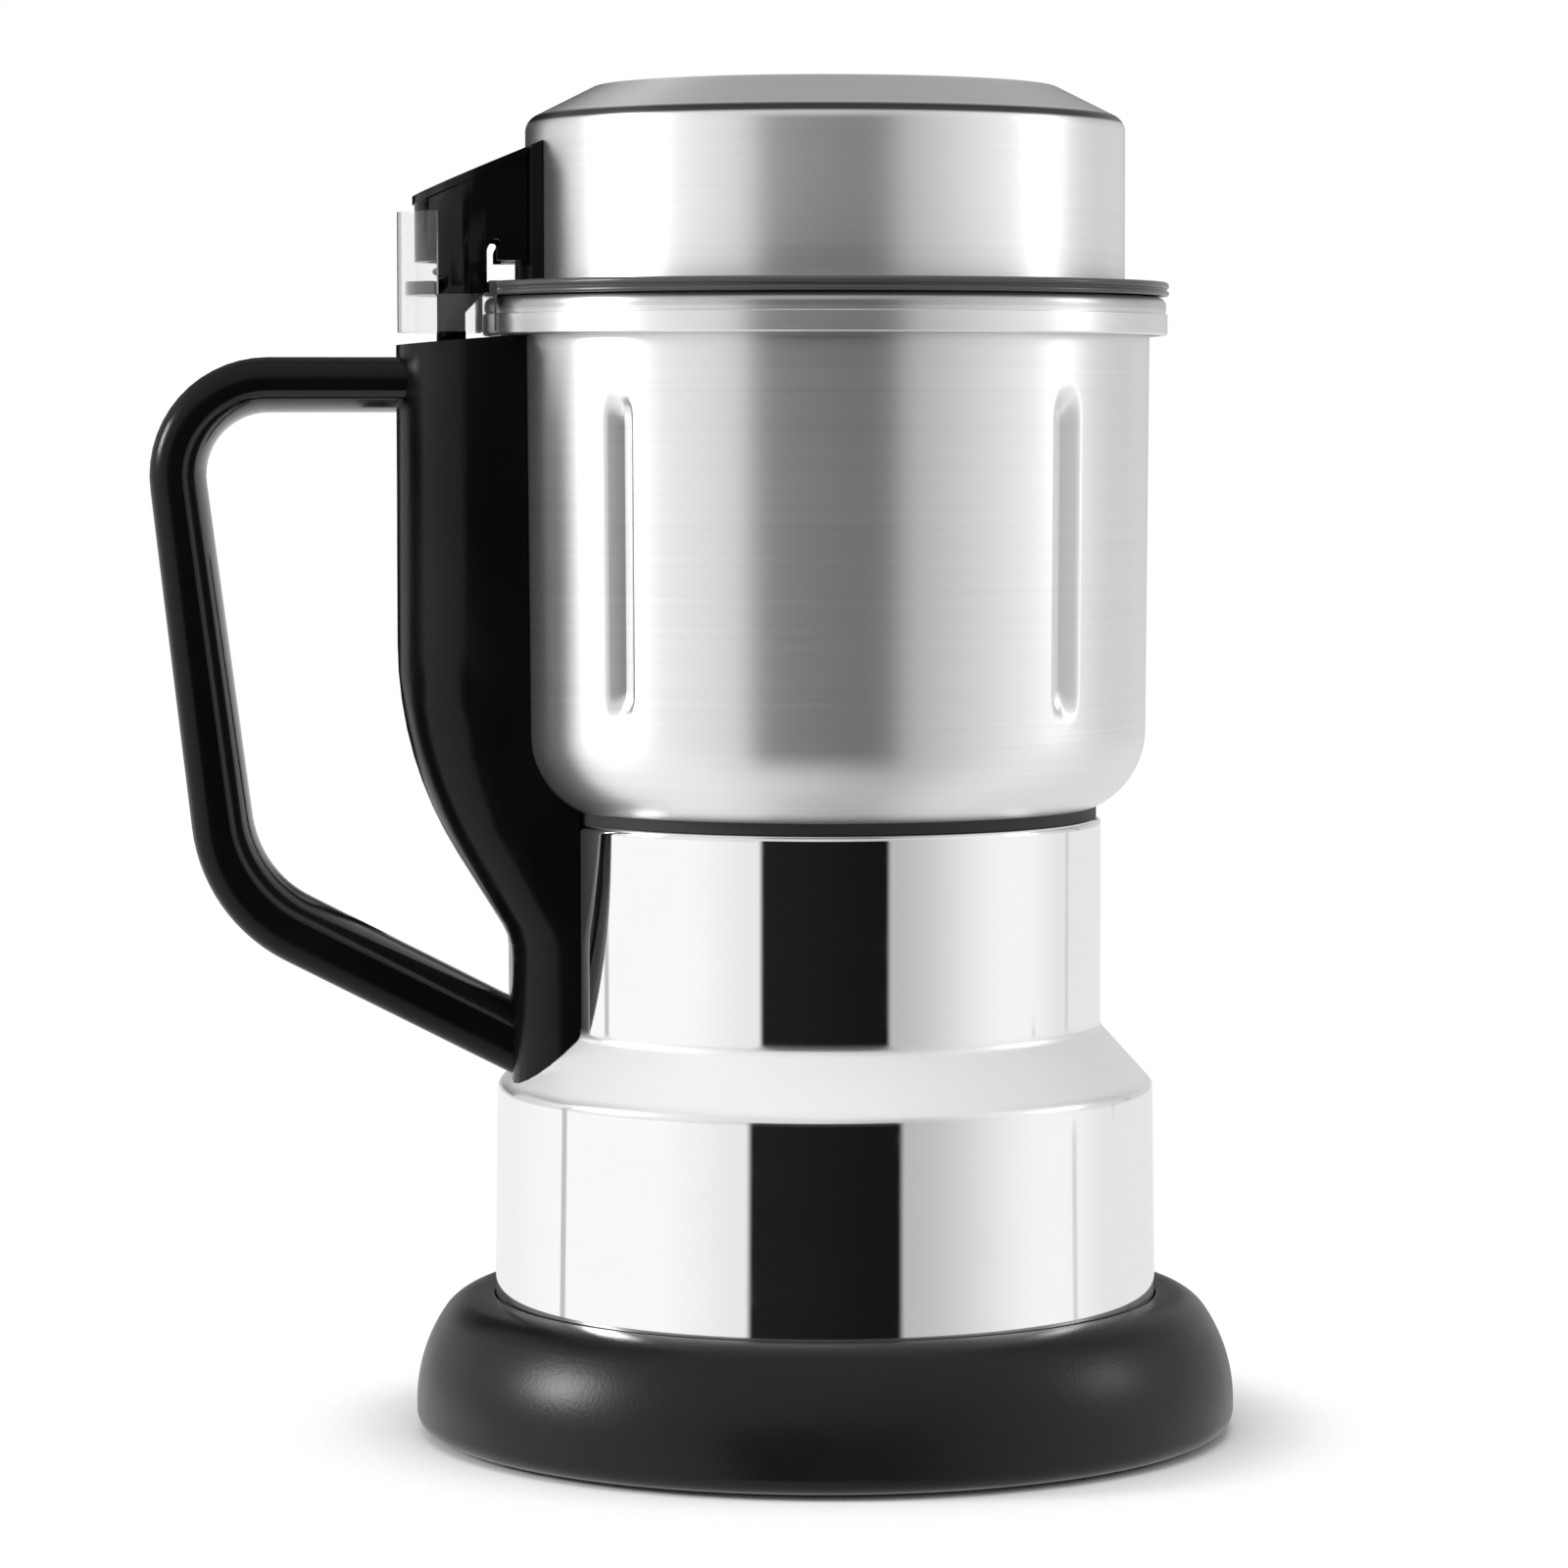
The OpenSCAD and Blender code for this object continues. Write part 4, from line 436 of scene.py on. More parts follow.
# %% [markdown]
# ## Studio tent
#
# Polished steel shows nothing but its surroundings, so the surroundings are part of the job. A
# white tent makes steel white, and a dark panel round the lens puts the crisp dark stripe down
# the middle of each cylinder. The tent is the world, as a function of the direction. Directions
# are measured in degrees: `side` from the camera towards the handle, `rise` above the horizon,
# and `away` is the side without its sign.
#
# The tent's wall on the handle's side is bright. The other wall is darker close to the camera.
# Cloths meet in seams on both sides, which mirror as thin lines. Reflections see all that, and
# the camera sees plain white. Light that is already scattered sees one even grey, so that matt
# surfaces keep a plain level.

# %% World
PANEL_EDGE, PANEL_LOW, PANEL_HIGH, PANEL_DARK = (24.8, 27.6), -26, 18, 0.985
STRIP_EDGE, STRIP_LOW, STRIP_HIGH, STRIP_DARK = (164, 172), 5, 17, 0.85
SCATTERED_LEVEL = 0.62


def blend_values(amount, low, high):
    """A number that goes from low to high as amount goes from 0 to 1."""
    return low + (high - low) * amount


def studio_tent(f):
    """How bright the tent is in every direction, with its dark panels and seams."""
    direction = f.node("ShaderNodeTexCoord", output="Generated")
    x, y, z = (f.part_of(direction, axis) for axis in "XYZ")
    turn = x.maths("ARCTAN2", y) - (math.pi + CAMERA_TURN)
    side = turn.maths("WRAP", math.pi, -math.pi) * math.degrees(1)
    rise = z.maths("ARCSINE") * math.degrees(1)
    away = side.maths("ABSOLUTE")
    to_handle = x * -math.cos(CAMERA_TURN) + y * math.sin(CAMERA_TURN)

    # Both walls darken towards the camera and a little again towards the back.
    bright_wall = away.step(27, 62) * 0.15 + 0.85 - away.step(100, 150) * 0.09
    plain_wall = away.step(24, 82) * 0.45 + 0.50 - away.step(92, 116) * 0.13
    walls = blend_values(to_handle.step(-0.4, 0.4), plain_wall, bright_wall)

    # The roof is more even. Above the horizon, the back and the handle's side are shaded.
    tent = blend_values(rise.step(30, 60), walls, walls * 0.2 + 0.60)
    back = away.step(98, 135) * rise.step(3, 30)
    above = rise.step(-4, -1)
    tent = tent * (1 - back * 0.4) * (1 - away.step(85, 130) * above * 0.2)
    tent = tent * (1 - to_handle.step(0, 0.3) * above * 0.14)

    # A dark panel is round the lens, and a dark strip hangs opposite it.
    front_panel = (1 - away.step(*PANEL_EDGE)) * rise.between(PANEL_LOW, PANEL_HIGH, 6.0)
    back_strip = away.step(*STRIP_EDGE) * rise.between(STRIP_LOW, STRIP_HIGH, 2.0)
    dark = (front_panel * PANEL_DARK).maths("MAXIMUM", back_strip * STRIP_DARK)
    handle_seam = side.between(101.6, 104.4, 0.5) * 0.45
    middle_seam = side.between(-121.6, -119.0, 0.5) * rise.between(-6.4, 0, 0.2) * 0.2
    low_seam = side.between(-97.6, -95.2, 0.5) * (1 - rise.step(-6.4, -6.2)) * 0.25
    high_seam = side.between(-133, -129.6, 0.8) * rise.step(0.5, 1.5) * 0.35
    for seam in (handle_seam, middle_seam, low_seam, high_seam):
        dark = dark.maths("MAXIMUM", seam)
    return tent * (1 - dark)


world = bpy.data.worlds.new("studio_tent")
world.use_nodes = True
bpy.context.scene.world = world
sky = Finish(world.node_tree)
tent = studio_tent(sky)
glossy = sky.ray("Is Glossy Ray")
plain = sky.ray("Is Camera Ray").maths("MAXIMUM", sky.ray("Is Transmission Ray"))
strength = plain + (1 - plain) * (glossy * tent + (1 - glossy) * SCATTERED_LEVEL)
background = sky.node("ShaderNodeBackground", inputs={"Color": grey(1.0), "Strength": strength})
sky.node("ShaderNodeOutputWorld", inputs={"Surface": background})
print("tent:", len(world.node_tree.nodes), "nodes")

# %% [markdown]
# ## Floor and lamps
#
# The paper under the grinder keeps its soft shadow and fades out two centimetres beyond the
# base, so that it meets the white round it without a line. Reflections don't see it. Three soft
# boxes model the form: a key from the handle's side, a weak fill, and a wide one from the top.

# %% Floor and lamps
FLOOR_HALF = 400.0
SHADOW_FULL, SHADOW_GONE = base_r + 2, base_r + 20
LAMP_DISTANCE = 1200.0
LAMP_AIM = Vector((0, 0, 50.0 * MM))


def link_mesh(bm, name, material):
    """Turns a bmesh into an object of the scene."""
    mesh = bpy.data.meshes.new(name)
    bm.to_mesh(mesh)
    bm.free()
    mesh.materials.append(material)
    made = bpy.data.objects.new(name, mesh)
    bpy.context.scene.collection.objects.link(made)
    return made


def floor_paper():
    material, f = new_finish("floor_paper")
    here = f.place()
    x, y = f.part_of(here, "X"), f.part_of(here, "Y")
    radius = (x * x + y * y).maths("SQRT")
    gone = f.ray("Is Glossy Ray").maths("MAXIMUM", radius.step(SHADOW_FULL * MM, SHADOW_GONE * MM))
    paper = f.node("ShaderNodeBsdfDiffuse", inputs={"Color": grey(0.96)})
    clear_way = f.node("ShaderNodeBsdfTransparent")
    mixed = f.node("ShaderNodeMixShader", inputs={0: gone, 1: paper, 2: clear_way})
    f.node("ShaderNodeOutputMaterial", inputs={"Surface": mixed})
    return material


def soft_box(name, side, rise, size, watts):
    """A square lamp at an angle from the camera's side of the grinder, aimed at its lower half."""
    lamp = bpy.data.lights.new(name, "AREA")
    lamp.shape = "RECTANGLE"
    lamp.size, lamp.size_y = size * MM, size * MM
    lamp.energy = watts
    box = bpy.data.objects.new(name, lamp)
    bpy.context.scene.collection.objects.link(box)
    turn = math.pi + CAMERA_TURN + math.radians(side)
    flat = math.cos(math.radians(rise)) * LAMP_DISTANCE * MM
    up = math.sin(math.radians(rise)) * LAMP_DISTANCE * MM
    box.location = LAMP_AIM + Vector((math.sin(turn) * flat, math.cos(turn) * flat, up))
    box.rotation_euler = (LAMP_AIM - box.location).to_track_quat("-Z", "Y").to_euler()
    return box


bm = bmesh.new()
bmesh.ops.create_grid(bm, x_segments=1, y_segments=1, size=FLOOR_HALF * MM)
floor = link_mesh(bm, "floor", floor_paper())
soft_box("key_left", side=83, rise=22, size=300, watts=7.0)
soft_box("fill_right", side=-92, rise=22, size=300, watts=1.1)
soft_box("top", side=0, rise=80, size=900, watts=5.0).visible_glossy = False
print("floor and three soft boxes")

# %% [markdown]
# ## Black flags
#
# Black cloths stand behind the handle. A glossy black edge shows what is far behind it, and in
# front of white it would shine like chrome. The cloths keep the outlines of column and loop
# dark. The finger gap stays free, because the inner strip should mirror white.


# %% Black flags
def black_flag(name, low, high, behind):
    """A black cloth that only reflections see.

    It spans from low to high, both given as (towards the handle, up), and hangs so many
    millimetres behind the grinder's axis.
    """
    bm = bmesh.new()
    bmesh.ops.create_grid(bm, x_segments=1, y_segments=1, size=0.5)
    across = Vector((-math.cos(CAMERA_TURN), math.sin(CAMERA_TURN), 0))
    deep = Vector((math.sin(CAMERA_TURN), math.cos(CAMERA_TURN), 0)) * behind * MM
    for vert in bm.verts:
        reach = low[0] + (high[0] - low[0]) * (vert.co.x + 0.5)
        height = low[1] + (high[1] - low[1]) * (vert.co.y + 0.5)
        vert.co = deep + across * reach * MM + Vector((0, 0, height * MM))
    flag = link_mesh(bm, name, cloth)
    flag.visible_camera = False
    flag.visible_diffuse = False
    flag.visible_transmission = False
    flag.visible_shadow = False
    return flag


cloth, weave = new_finish("black_cloth")
no_light = weave.node("ShaderNodeEmission", inputs={"Color": grey(0.0)})
weave.node("ShaderNodeOutputMaterial", inputs={"Surface": no_light})
flags = [
    black_flag("flag_beside_column", low=(64, 60), high=(69, 130), behind=21),
    black_flag("flag_outside_loop", low=(97, 60), high=(185, 270), behind=150),
    black_flag("flag_above_loop", low=(66, 158), high=(97, 270), behind=150),
]
print(len(flags), "black flags")

# %% [markdown]
# ## Drawing an outline with a pen
#
# Base, housing, bowl and lid are all turned or drawn parts: half of the section, spun round the
# axis. The section could be typed as a table of points. Here it is drawn with a pen instead: one
# vertex is extruded for each straight stretch and spun for each arc, which keeps every arc a
# true arc with a known centre. The pen works in the XZ plane, in millimetres.


# %% Pen
class Pen:
    """Draws a chain of edges in the XZ plane, starting from one vertex."""

    def __init__(self, x, z):
        self.bm = bmesh.new()
        self.tip = self.bm.verts.new((x * MM, 0, z * MM))
        self.start = self.tip

    def line(self, x, z, cuts=0):
        """Draws a straight stretch, with a few vertices on the way if they are asked for."""
        start = self.tip.co.copy()
        end = Vector((x * MM, 0, z * MM))
        for i in range(cuts + 1):
            moved = bmesh.ops.extrude_vert_indiv(self.bm, verts=[self.tip])
            self.tip = moved["verts"][0]
            self.tip.co = start.lerp(end, (i + 1) / (cuts + 1))
        return self

    def arc(self, x, z, degrees, steps):
        """Turns about a centre; positive degrees go clockwise with X right and Z up."""
        turned = bmesh.ops.spin(
            self.bm,
            geom=[self.tip],
            cent=(x * MM, 0, z * MM),
            axis=(0, 1, 0),
            angle=math.radians(degrees),
            steps=steps,
        )
        self.tip = [g for g in turned["geom_last"] if isinstance(g, bmesh.types.BMVert)][0]
        return self

    def close(self):
        self.bm.edges.new((self.tip, self.start))
        return self


def corner(pen, before, at, after, radius, steps):
    """Rounds the corner at a point: a line up to the arc, then the arc."""
    at = Vector(at)
    back = (Vector(before) - at).normalized()
    forth = (Vector(after) - at).normalized()
    half = back.angle(forth) / 2
    cut = at + back * radius / math.tan(half)
    centre = at + (back + forth).normalized() * radius / math.sin(half)
    turn = 180 - math.degrees(2 * half)
    clockwise = back.x * forth.y - back.y * forth.x > 0
    pen.line(cut.x, cut.y)
    pen.arc(centre.x, centre.y, turn if clockwise else -turn, steps)


def draw(points, rounds, steps):
    """Draws a chain through points. `rounds` gives a rounded point's number and radius."""
    pen = Pen(*points[0])
    for i in range(1, len(points)):
        if i in rounds:
            corner(pen, points[i - 1], points[i], points[i + 1], rounds[i], steps)
        else:
            pen.line(*points[i])
    return pen


print("the pen draws lines, arcs and rounded corners")

# %% [markdown]
# ## From an outline to a finished piece
#
# The lathe spins the outline once round the axis. The mesh is then shaded smooth, with sharp
# edges where the form has them. Weighted normals let a large face keep its own direction next
# to a small round, as a real flat next to a real bend does. Last, the piece is put on the body
# that it moves with, in place of the solid that it stands for.

# %% Lathe
SHARP_DEGREES = 35.0
TURNED_STEPS, MIRROR_STEPS = 256, 360
SAME_POINT = 0.0001


def lathe(bm, steps):
    """Spins the drawn outline once round the Z axis and points all faces outwards."""
    geometry = bm.verts[:] + bm.edges[:]
    bmesh.ops.spin(
        bm,
        geom=geometry,
        cent=(0, 0, 0),
        axis=(0, 0, 1),
        angle=math.tau,
        steps=steps,
        use_merge=True,
    )
    bmesh.ops.remove_doubles(bm, verts=bm.verts[:], dist=SAME_POINT * MM)
    bmesh.ops.recalc_face_normals(bm, faces=bm.faces[:])
    return bm


def to_object(bm, name, material, sharp_degrees=SHARP_DEGREES):
    """Turns a bmesh into a smooth-shaded object. Edges sharper than a limit stay sharp."""
    piece = link_mesh(bm, name, material)
    for polygon in piece.data.polygons:
        polygon.use_smooth = True
    piece.data.set_sharp_from_angle(angle=math.radians(sharp_degrees))
    weigh = piece.modifiers.new("weigh_normals", "WEIGHTED_NORMAL")
    weigh.keep_sharp = True
    return piece


def put(piece, body, node):
    """Lets a finished piece ride on its body in place of the solid that it stands for."""
    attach(piece, body)
    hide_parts(node)
    print(f"{piece.name}: {len(piece.data.polygons)} faces")
    return piece


print("a lathe turn has", TURNED_STEPS, "steps, and", MIRROR_STEPS, "for sheet steel")

# %% [markdown]
# ## Base skirt
#
# The base is one black moulding with a crest close to the housing and a flank that swells out
# to the widest line just above the table. Two arcs that share a tangent give that shape: a small
# one over the crest and a large one down the flank. Inside, a ledge carries the housing.

# %% Base skirt
CREST_ROUND = 7.0
WIDEST_Z = 4.4
EDGE_ROUND = 2.6
SKIRT_WALL = 2.8
WALL_FOOT_H = 2.0  # the wall's inside is upright up to here, above the widest line
MOUTH_GAP, MOUTH_ROUND = 0.1, 0.5  # round the housing
LEDGE_W, LEDGE_T = 3.4, 2.0
LEDGE_ROOT_STEP, LEDGE_ROOT_DROP = 1.0, 0.4  # its root, outside the crest and below its edge

swell = base_r - crest_r
climb = crest_z - CREST_ROUND - WIDEST_Z
flank_r = (swell**2 + climb**2 - CREST_ROUND**2) / (2 * (swell - CREST_ROUND))
flank_x = base_r - flank_r
join_angle = math.degrees(math.atan2(climb, crest_r - flank_x))
mouth_r, ledge_r = housing_r + MOUTH_GAP, housing_r - LEDGE_W
ledge_under = housing_z - LEDGE_T

pen = Pen(mouth_r, crest_z - MOUTH_ROUND)
pen.arc(mouth_r + MOUTH_ROUND, crest_z - MOUTH_ROUND, 90, 4)
pen.line(crest_r, crest_z)
pen.arc(crest_r, crest_z - CREST_ROUND, 90 - join_angle, 24)
pen.arc(flank_x, WIDEST_Z, join_angle, 30)
pen.line(base_r, skirt_z + EDGE_ROUND)
pen.arc(base_r - EDGE_ROUND, skirt_z + EDGE_ROUND, 90, 10)
pen.line(base_r - SKIRT_WALL, skirt_z).line(base_r - SKIRT_WALL, WIDEST_Z + WALL_FOOT_H)
pen.line(crest_r + LEDGE_ROOT_STEP, ledge_under - LEDGE_ROOT_DROP)
pen.line(ledge_r, ledge_under)
pen.line(ledge_r, housing_z).line(mouth_r, housing_z).close()
skirt = to_object(lathe(pen.bm, TURNED_STEPS), "base_skirt_moulding", base_black)
put(skirt, "motor_unit", "base_skirt")

# %% [markdown]
# ## Motor housing
#
# The housing is one deep-drawn shell with a wide lower tier, a sloped shoulder and a narrow
# upper tier. Its bends have small radii, and those radii catch the light as thin lines. A
# rounded corner between two lines is a short arc whose ends touch both lines.

# %% Motor housing
HOLE_R = 9.0  # round the shaft, in housing and bowl
SHEET = 1.0
SHOULDER_ROUND, TOP_ROUND = 2.0, 1.0
INNER_DROP = 0.5  # how much lower the shoulder's corners are on the inside

pen = draw(
    [
        (housing_r - SHEET, housing_z),
        (housing_r, housing_z),
        (low_top_r, shoulder_z),
        (neck_r, shoulder_top),
        (neck_r, housing_top),
        (HOLE_R, housing_top),
        (HOLE_R, housing_top - SHEET),
        (neck_r - SHEET, housing_top - SHEET),
        (neck_r - SHEET, shoulder_top - INNER_DROP),
        (low_top_r - SHEET, shoulder_z - INNER_DROP),
    ],
    rounds={2: SHOULDER_ROUND, 3: SHOULDER_ROUND, 4: TOP_ROUND},
    steps=12,
)
pen.close()
housing = to_object(lathe(pen.bm, MIRROR_STEPS), "housing_shell", polished)
put(housing, "motor_unit", "motor_housing")

# %% [markdown]
# ## Bowl
#
# The bowl is drawn from sheet: floor, rounded corner, straight wall and a rim. The rim is a band
# that is folded outwards, with a rolled lip over it and a fine groove between the two.
#
# Four flutes are pressed into the wall to stir the spices. Cutting them would leave sharp lips.
# Here the wall is spun dense, and each vertex near a flute is moved inwards by an amount that
# grows towards the flute's line, so inner and outer skin move together as real sheet does. The
# two flanks meet in a crease, and the crease falls on a column of vertices. The bowl is screwed
# down a touch round from square, as such bowls are.

# %% Bowl
BOWL_SHEET = 0.9
BOWL_ROUND = 12.2
BAND_H = 3.1
BAND_LOW_ROUND, BAND_HIGH_ROUND = 0.3, 0.2
GROOVE_H, GROOVE_DEPTH, GROOVE_BEVEL = 0.3, 0.4, 0.05
LIP_STEP, LIP_ROUND, LIP_INNER_ROUND = 0.2, 1.3, 0.4
BOWL_STEPS = 720

inside_r = bowl_r - BOWL_SHEET
corner_x, corner_z = bowl_foot_r - BOWL_ROUND, bowl_z + BOWL_ROUND
band_top = rim_z + BAND_H
groove_r, groove_top = rim_r - GROOVE_DEPTH, band_top + GROOVE_H
lip_r = rim_r - LIP_STEP

pen = Pen(HOLE_R, bowl_z)
pen.line(corner_x, bowl_z)
pen.arc(corner_x, corner_z, -90, 14)
pen.line(bowl_r, rim_z, cuts=48)
pen.line(bowl_r, groove_top)
pen.line(rim_r - BOWL_SHEET, groove_top).line(rim_r - BOWL_SHEET, rim_z)
pen.line(rim_r - BAND_LOW_ROUND, rim_z)
pen.arc(rim_r - BAND_LOW_ROUND, rim_z + BAND_LOW_ROUND, -90, 5)
pen.line(rim_r, band_top - BAND_HIGH_ROUND)
pen.arc(rim_r - BAND_HIGH_ROUND, band_top - BAND_HIGH_ROUND, -90, 4)
pen.line(groove_r, band_top).line(groove_r, groove_top - GROOVE_BEVEL)
pen.line(lip_r - GROOVE_BEVEL, groove_top)
pen.line(lip_r, rim_top - LIP_ROUND)
pen.arc(lip_r - LIP_ROUND, rim_top - LIP_ROUND, -90, 10)
pen.line(inside_r + LIP_INNER_ROUND, rim_top)
pen.arc(inside_r + LIP_INNER_ROUND, rim_top - LIP_INNER_ROUND, -90, 4)
pen.line(inside_r, rim_z)
pen.line(bowl_foot_r - BOWL_SHEET, corner_z, cuts=18)
pen.arc(corner_x, corner_z, 90, 8)
pen.line(HOLE_R, bowl_z + BOWL_SHEET).close()
lathe(pen.bm, BOWL_STEPS)
print("bowl before pressing:", len(pen.bm.verts), "vertices")

# %% Flutes
FLUTE_MID, FLUTE_HALF = bowl_z + 38.2, 20.0
FLUTE_REACH, FLUTE_DEPTH = 2.7, 1.5
FLUTE_SPREAD = 42.0  # degrees to either side of front and back

step_angle = 360 / BOWL_STEPS
bowl_turn = -step_angle
flute_spread = round(FLUTE_SPREAD / step_angle) * step_angle
flute_angles = [
    math.radians(middle + bowl_turn + sign * flute_spread)
    for middle in (90, 270)
    for sign in (-1, 1)
]


def press_flutes(bm):
    """Moves the wall inwards along four upright lines."""
    moved = 0
    for vert in bm.verts:
        radius = math.hypot(vert.co.x, vert.co.y)
        turn = math.atan2(vert.co.y, vert.co.x)
        beyond = max(0.0, abs(vert.co.z - FLUTE_MID * MM) - FLUTE_HALF * MM)
        for angle in flute_angles:
            aside = radius * math.remainder(turn - angle, math.tau)
            distance = math.hypot(aside, beyond) / (FLUTE_REACH * MM)
            if distance < 1:
                scale = 1 - FLUTE_DEPTH * MM * (1 - distance) / radius
                vert.co.x *= scale
                vert.co.y *= scale
                moved += 1
    return moved


print("flutes moved", press_flutes(pen.bm), "vertices")
bowl = to_object(pen.bm, "bowl_drawn", brushed_bowl)
put(bowl, "motor_unit", "bowl")

# %% [markdown]
# ## Lid
#
# The lid is a turned steel cap: a straight wall, a small round, a shallow cone and a nearly flat
# dome. Its underside is open, and the clear liner stands inside it.

# %% Lid cap
LID_SHEET = 0.8
CROWN = 0.6
EDGE_TURN, DOME_TURN = 2.6, 1.5
POLE_R = 0.02  # a pinhole at the axis, too small to see
INNER_EDGE_DROP = 0.3
dome_edge_z = lid_top - CROWN

pen = draw(
    [
        (lid_r - LID_SHEET, lid_z),
        (lid_r, lid_z),
        (lid_r, wall_top),
        (dome_r, dome_edge_z),
        (POLE_R, lid_top),
    ],
    rounds={2: EDGE_TURN, 3: DOME_TURN},
    steps=16,
)
pen.line(POLE_R, lid_top - LID_SHEET).line(dome_r, dome_edge_z - LID_SHEET)
pen.line(lid_r - LID_SHEET, wall_top - INNER_EDGE_DROP).close()
cap = to_object(lathe(pen.bm, MIRROR_STEPS), "lid_cap", brushed_lid)
put(cap, "lid", "lid_shell")

# %% [markdown]
# ## Loop handle
#
# The loop is a bar that is bent twice. Its path is four points with a bend radius at the two
# middle ones. Stations along the path say where the bar is, which way is outwards and how thick
# it is. An outline is placed at every station, and neighbouring outlines are bridged.
#
# The outline has two parts. The outer channel is a flat bar with generous rounds. The inner
# strip is half an ellipse, and seen from the side its surface leans away from the eye more and
# more, so black plastic mirrors more and more of the white behind it. That gives the soft light
# edge round the finger gap.


# %% Stations along the loop
def bent_bar(path, bends, thicknesses, steps=14):
    """Stations (place, outward direction, thickness) along a path with rounded corners."""
    heads = [(b - a).normalized() for a, b in zip(path, path[1:])]
    outs = [Vector((h.y, -h.x)) for h in heads]
    stations = [(path[0], outs[0], thicknesses[0])]
    for i in range(1, len(path) - 1):
        turn = heads[i - 1].angle(heads[i])
        cut = bends[i] * math.tan(turn / 2)
        centre = path[i] - heads[i - 1] * cut - outs[i - 1] * bends[i]
        start = math.atan2(outs[i - 1].y, outs[i - 1].x)
        for k in range(steps + 1):
            angle = start + turn * k / steps
            out = Vector((math.cos(angle), math.sin(angle)))
            ease = 1 - k / steps
            thick = thicknesses[i] + (thicknesses[i - 1] - thicknesses[i]) * ease / 2
            stations.append((centre + out * bends[i], out, thick))
    stations.append((path[-1], outs[-1], thicknesses[-1]))
    return stations


TOP_BAR_T, GRIP_T = 7.9, 9.4
TOP_BEND, LOW_BEND = 13.0, 20.0
COLUMN_W, FOOT_W = 12.5, 5.8  # the column, outside the bowl's rim and the housing's neck
TOP_TUCK = 1.6  # the top bar's end, inside the column
TOP_REACH, LOW_REACH = 33.0, 24.0  # the path's corners, outside the column
LOOP_END_H = 7.4  # the loop's lower end, above the shoulder
LOW_CORNER_H = 20.6  # the lower corner, above that end
FOOT_TUCK, FOOT_DROP = 9.0, 4.5  # the path runs on past the end by this much

column_reach = rim_r + COLUMN_W
foot_reach = neck_r + FOOT_W
top_bar_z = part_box("handle_loop")[1][2] / MM - TOP_BAR_T / 2
loop_end_z = shoulder_z + LOOP_END_H
loop_path = [
    Vector((-(column_reach - TOP_TUCK), top_bar_z)),
    Vector((-(column_reach + TOP_REACH), top_bar_z)),
    Vector((-(column_reach + LOW_REACH), loop_end_z + LOW_CORNER_H)),
    Vector((-(foot_reach - FOOT_TUCK), loop_end_z - FOOT_DROP)),
]
stations = bent_bar(
    loop_path, (0, TOP_BEND, LOW_BEND, 0), (TOP_BAR_T, TOP_BAR_T, GRIP_T, GRIP_T)
)
print(len(stations), "stations along the loop")


# %% Skin over the stations
def skin(stations, outline, last_x):
    """Bridges the outline from station to station. The last one is cut upright at last_x."""
    bm = bmesh.new()
    rings = []
    for number, (place, out, thick) in enumerate(stations):
        head = Vector((-out.y, out.x))
        verts = []
        for outward, aside in outline(thick):
            point = place + out * outward
            if number == len(stations) - 1:
                point = point + head * ((last_x - point.x) / head.x)
            verts.append(bm.verts.new((point.x * MM, aside * MM, point.y * MM)))
        ring = [bm.edges.new((a, b)) for a, b in zip(verts, verts[1:] + verts[:1])]
        if rings:
            bmesh.ops.bridge_loops(bm, edges=rings[-1] + ring)
        rings.append(ring)
    for ring in (rings[0], rings[-1]):
        bmesh.ops.contextual_create(bm, geom=ring)
    bmesh.ops.recalc_face_normals(bm, faces=bm.faces[:])
    return bm


def quarter(steps):
    """Angles over a quarter turn, both ends included."""
    return [math.pi / 2 * k / steps for k in range(steps + 1)]


def mirrored(half):
    """A closed outline from one half of it: the other side is its mirror image."""
    return half + [(outward, -aside) for outward, aside in reversed(half) if aside > 0.01]


print("quarter turn in 4 steps, in degrees:", [math.degrees(a) for a in quarter(4)])

# %% Channel and strip
LOOP_HALF_W, LOOP_ROUND = 10.0, 3.4
STRIP_T, STRIP_HALF_W = 3.3, 9.85
STRIP_TUCK = 0.3  # how far the strip reaches into the channel
MIDDLE_GAP = 0.05  # half the short edge across the middle of a flat face
FOOT_CUT = 0.5  # the loop's lower end, inside the column's outer face
LOOP_SHARP_DEGREES = 50


def channel_outline(thick):
    """Half of the bar with a flat outer face and two rounded corners, mirrored."""
    parting = STRIP_T - thick / 2
    top, side = thick / 2 - LOOP_ROUND, LOOP_HALF_W - LOOP_ROUND
    half = [
        (top + LOOP_ROUND * math.sin(a), side + LOOP_ROUND * math.cos(a)) for a in quarter(8)
    ]
    return mirrored([(parting, MIDDLE_GAP), (parting, LOOP_HALF_W)] + half + [(thick / 2, 0.0)])


def strip_outline(thick):
    """Half an ellipse nearly as wide as the bar, standing inwards from the parting line."""
    parting = STRIP_T - thick / 2
    back = parting + STRIP_TUCK
    half = [(parting - STRIP_T * math.sin(a), STRIP_HALF_W * math.cos(a)) for a in quarter(12)]
    return mirrored([(back, MIDDLE_GAP), (back, STRIP_HALF_W)] + half)


foot_x = -(foot_reach - FOOT_CUT)
channel_bm = skin(stations, channel_outline, foot_x)
loop = to_object(channel_bm, "loop_channel", handle_black, LOOP_SHARP_DEGREES)
put(loop, "motor_unit", "handle_loop")
strip_bm = skin(stations, strip_outline, foot_x)
strip = to_object(strip_bm, "loop_strip", strip_black, LOOP_SHARP_DEGREES)
put(strip, "motor_unit", "handle_strip")

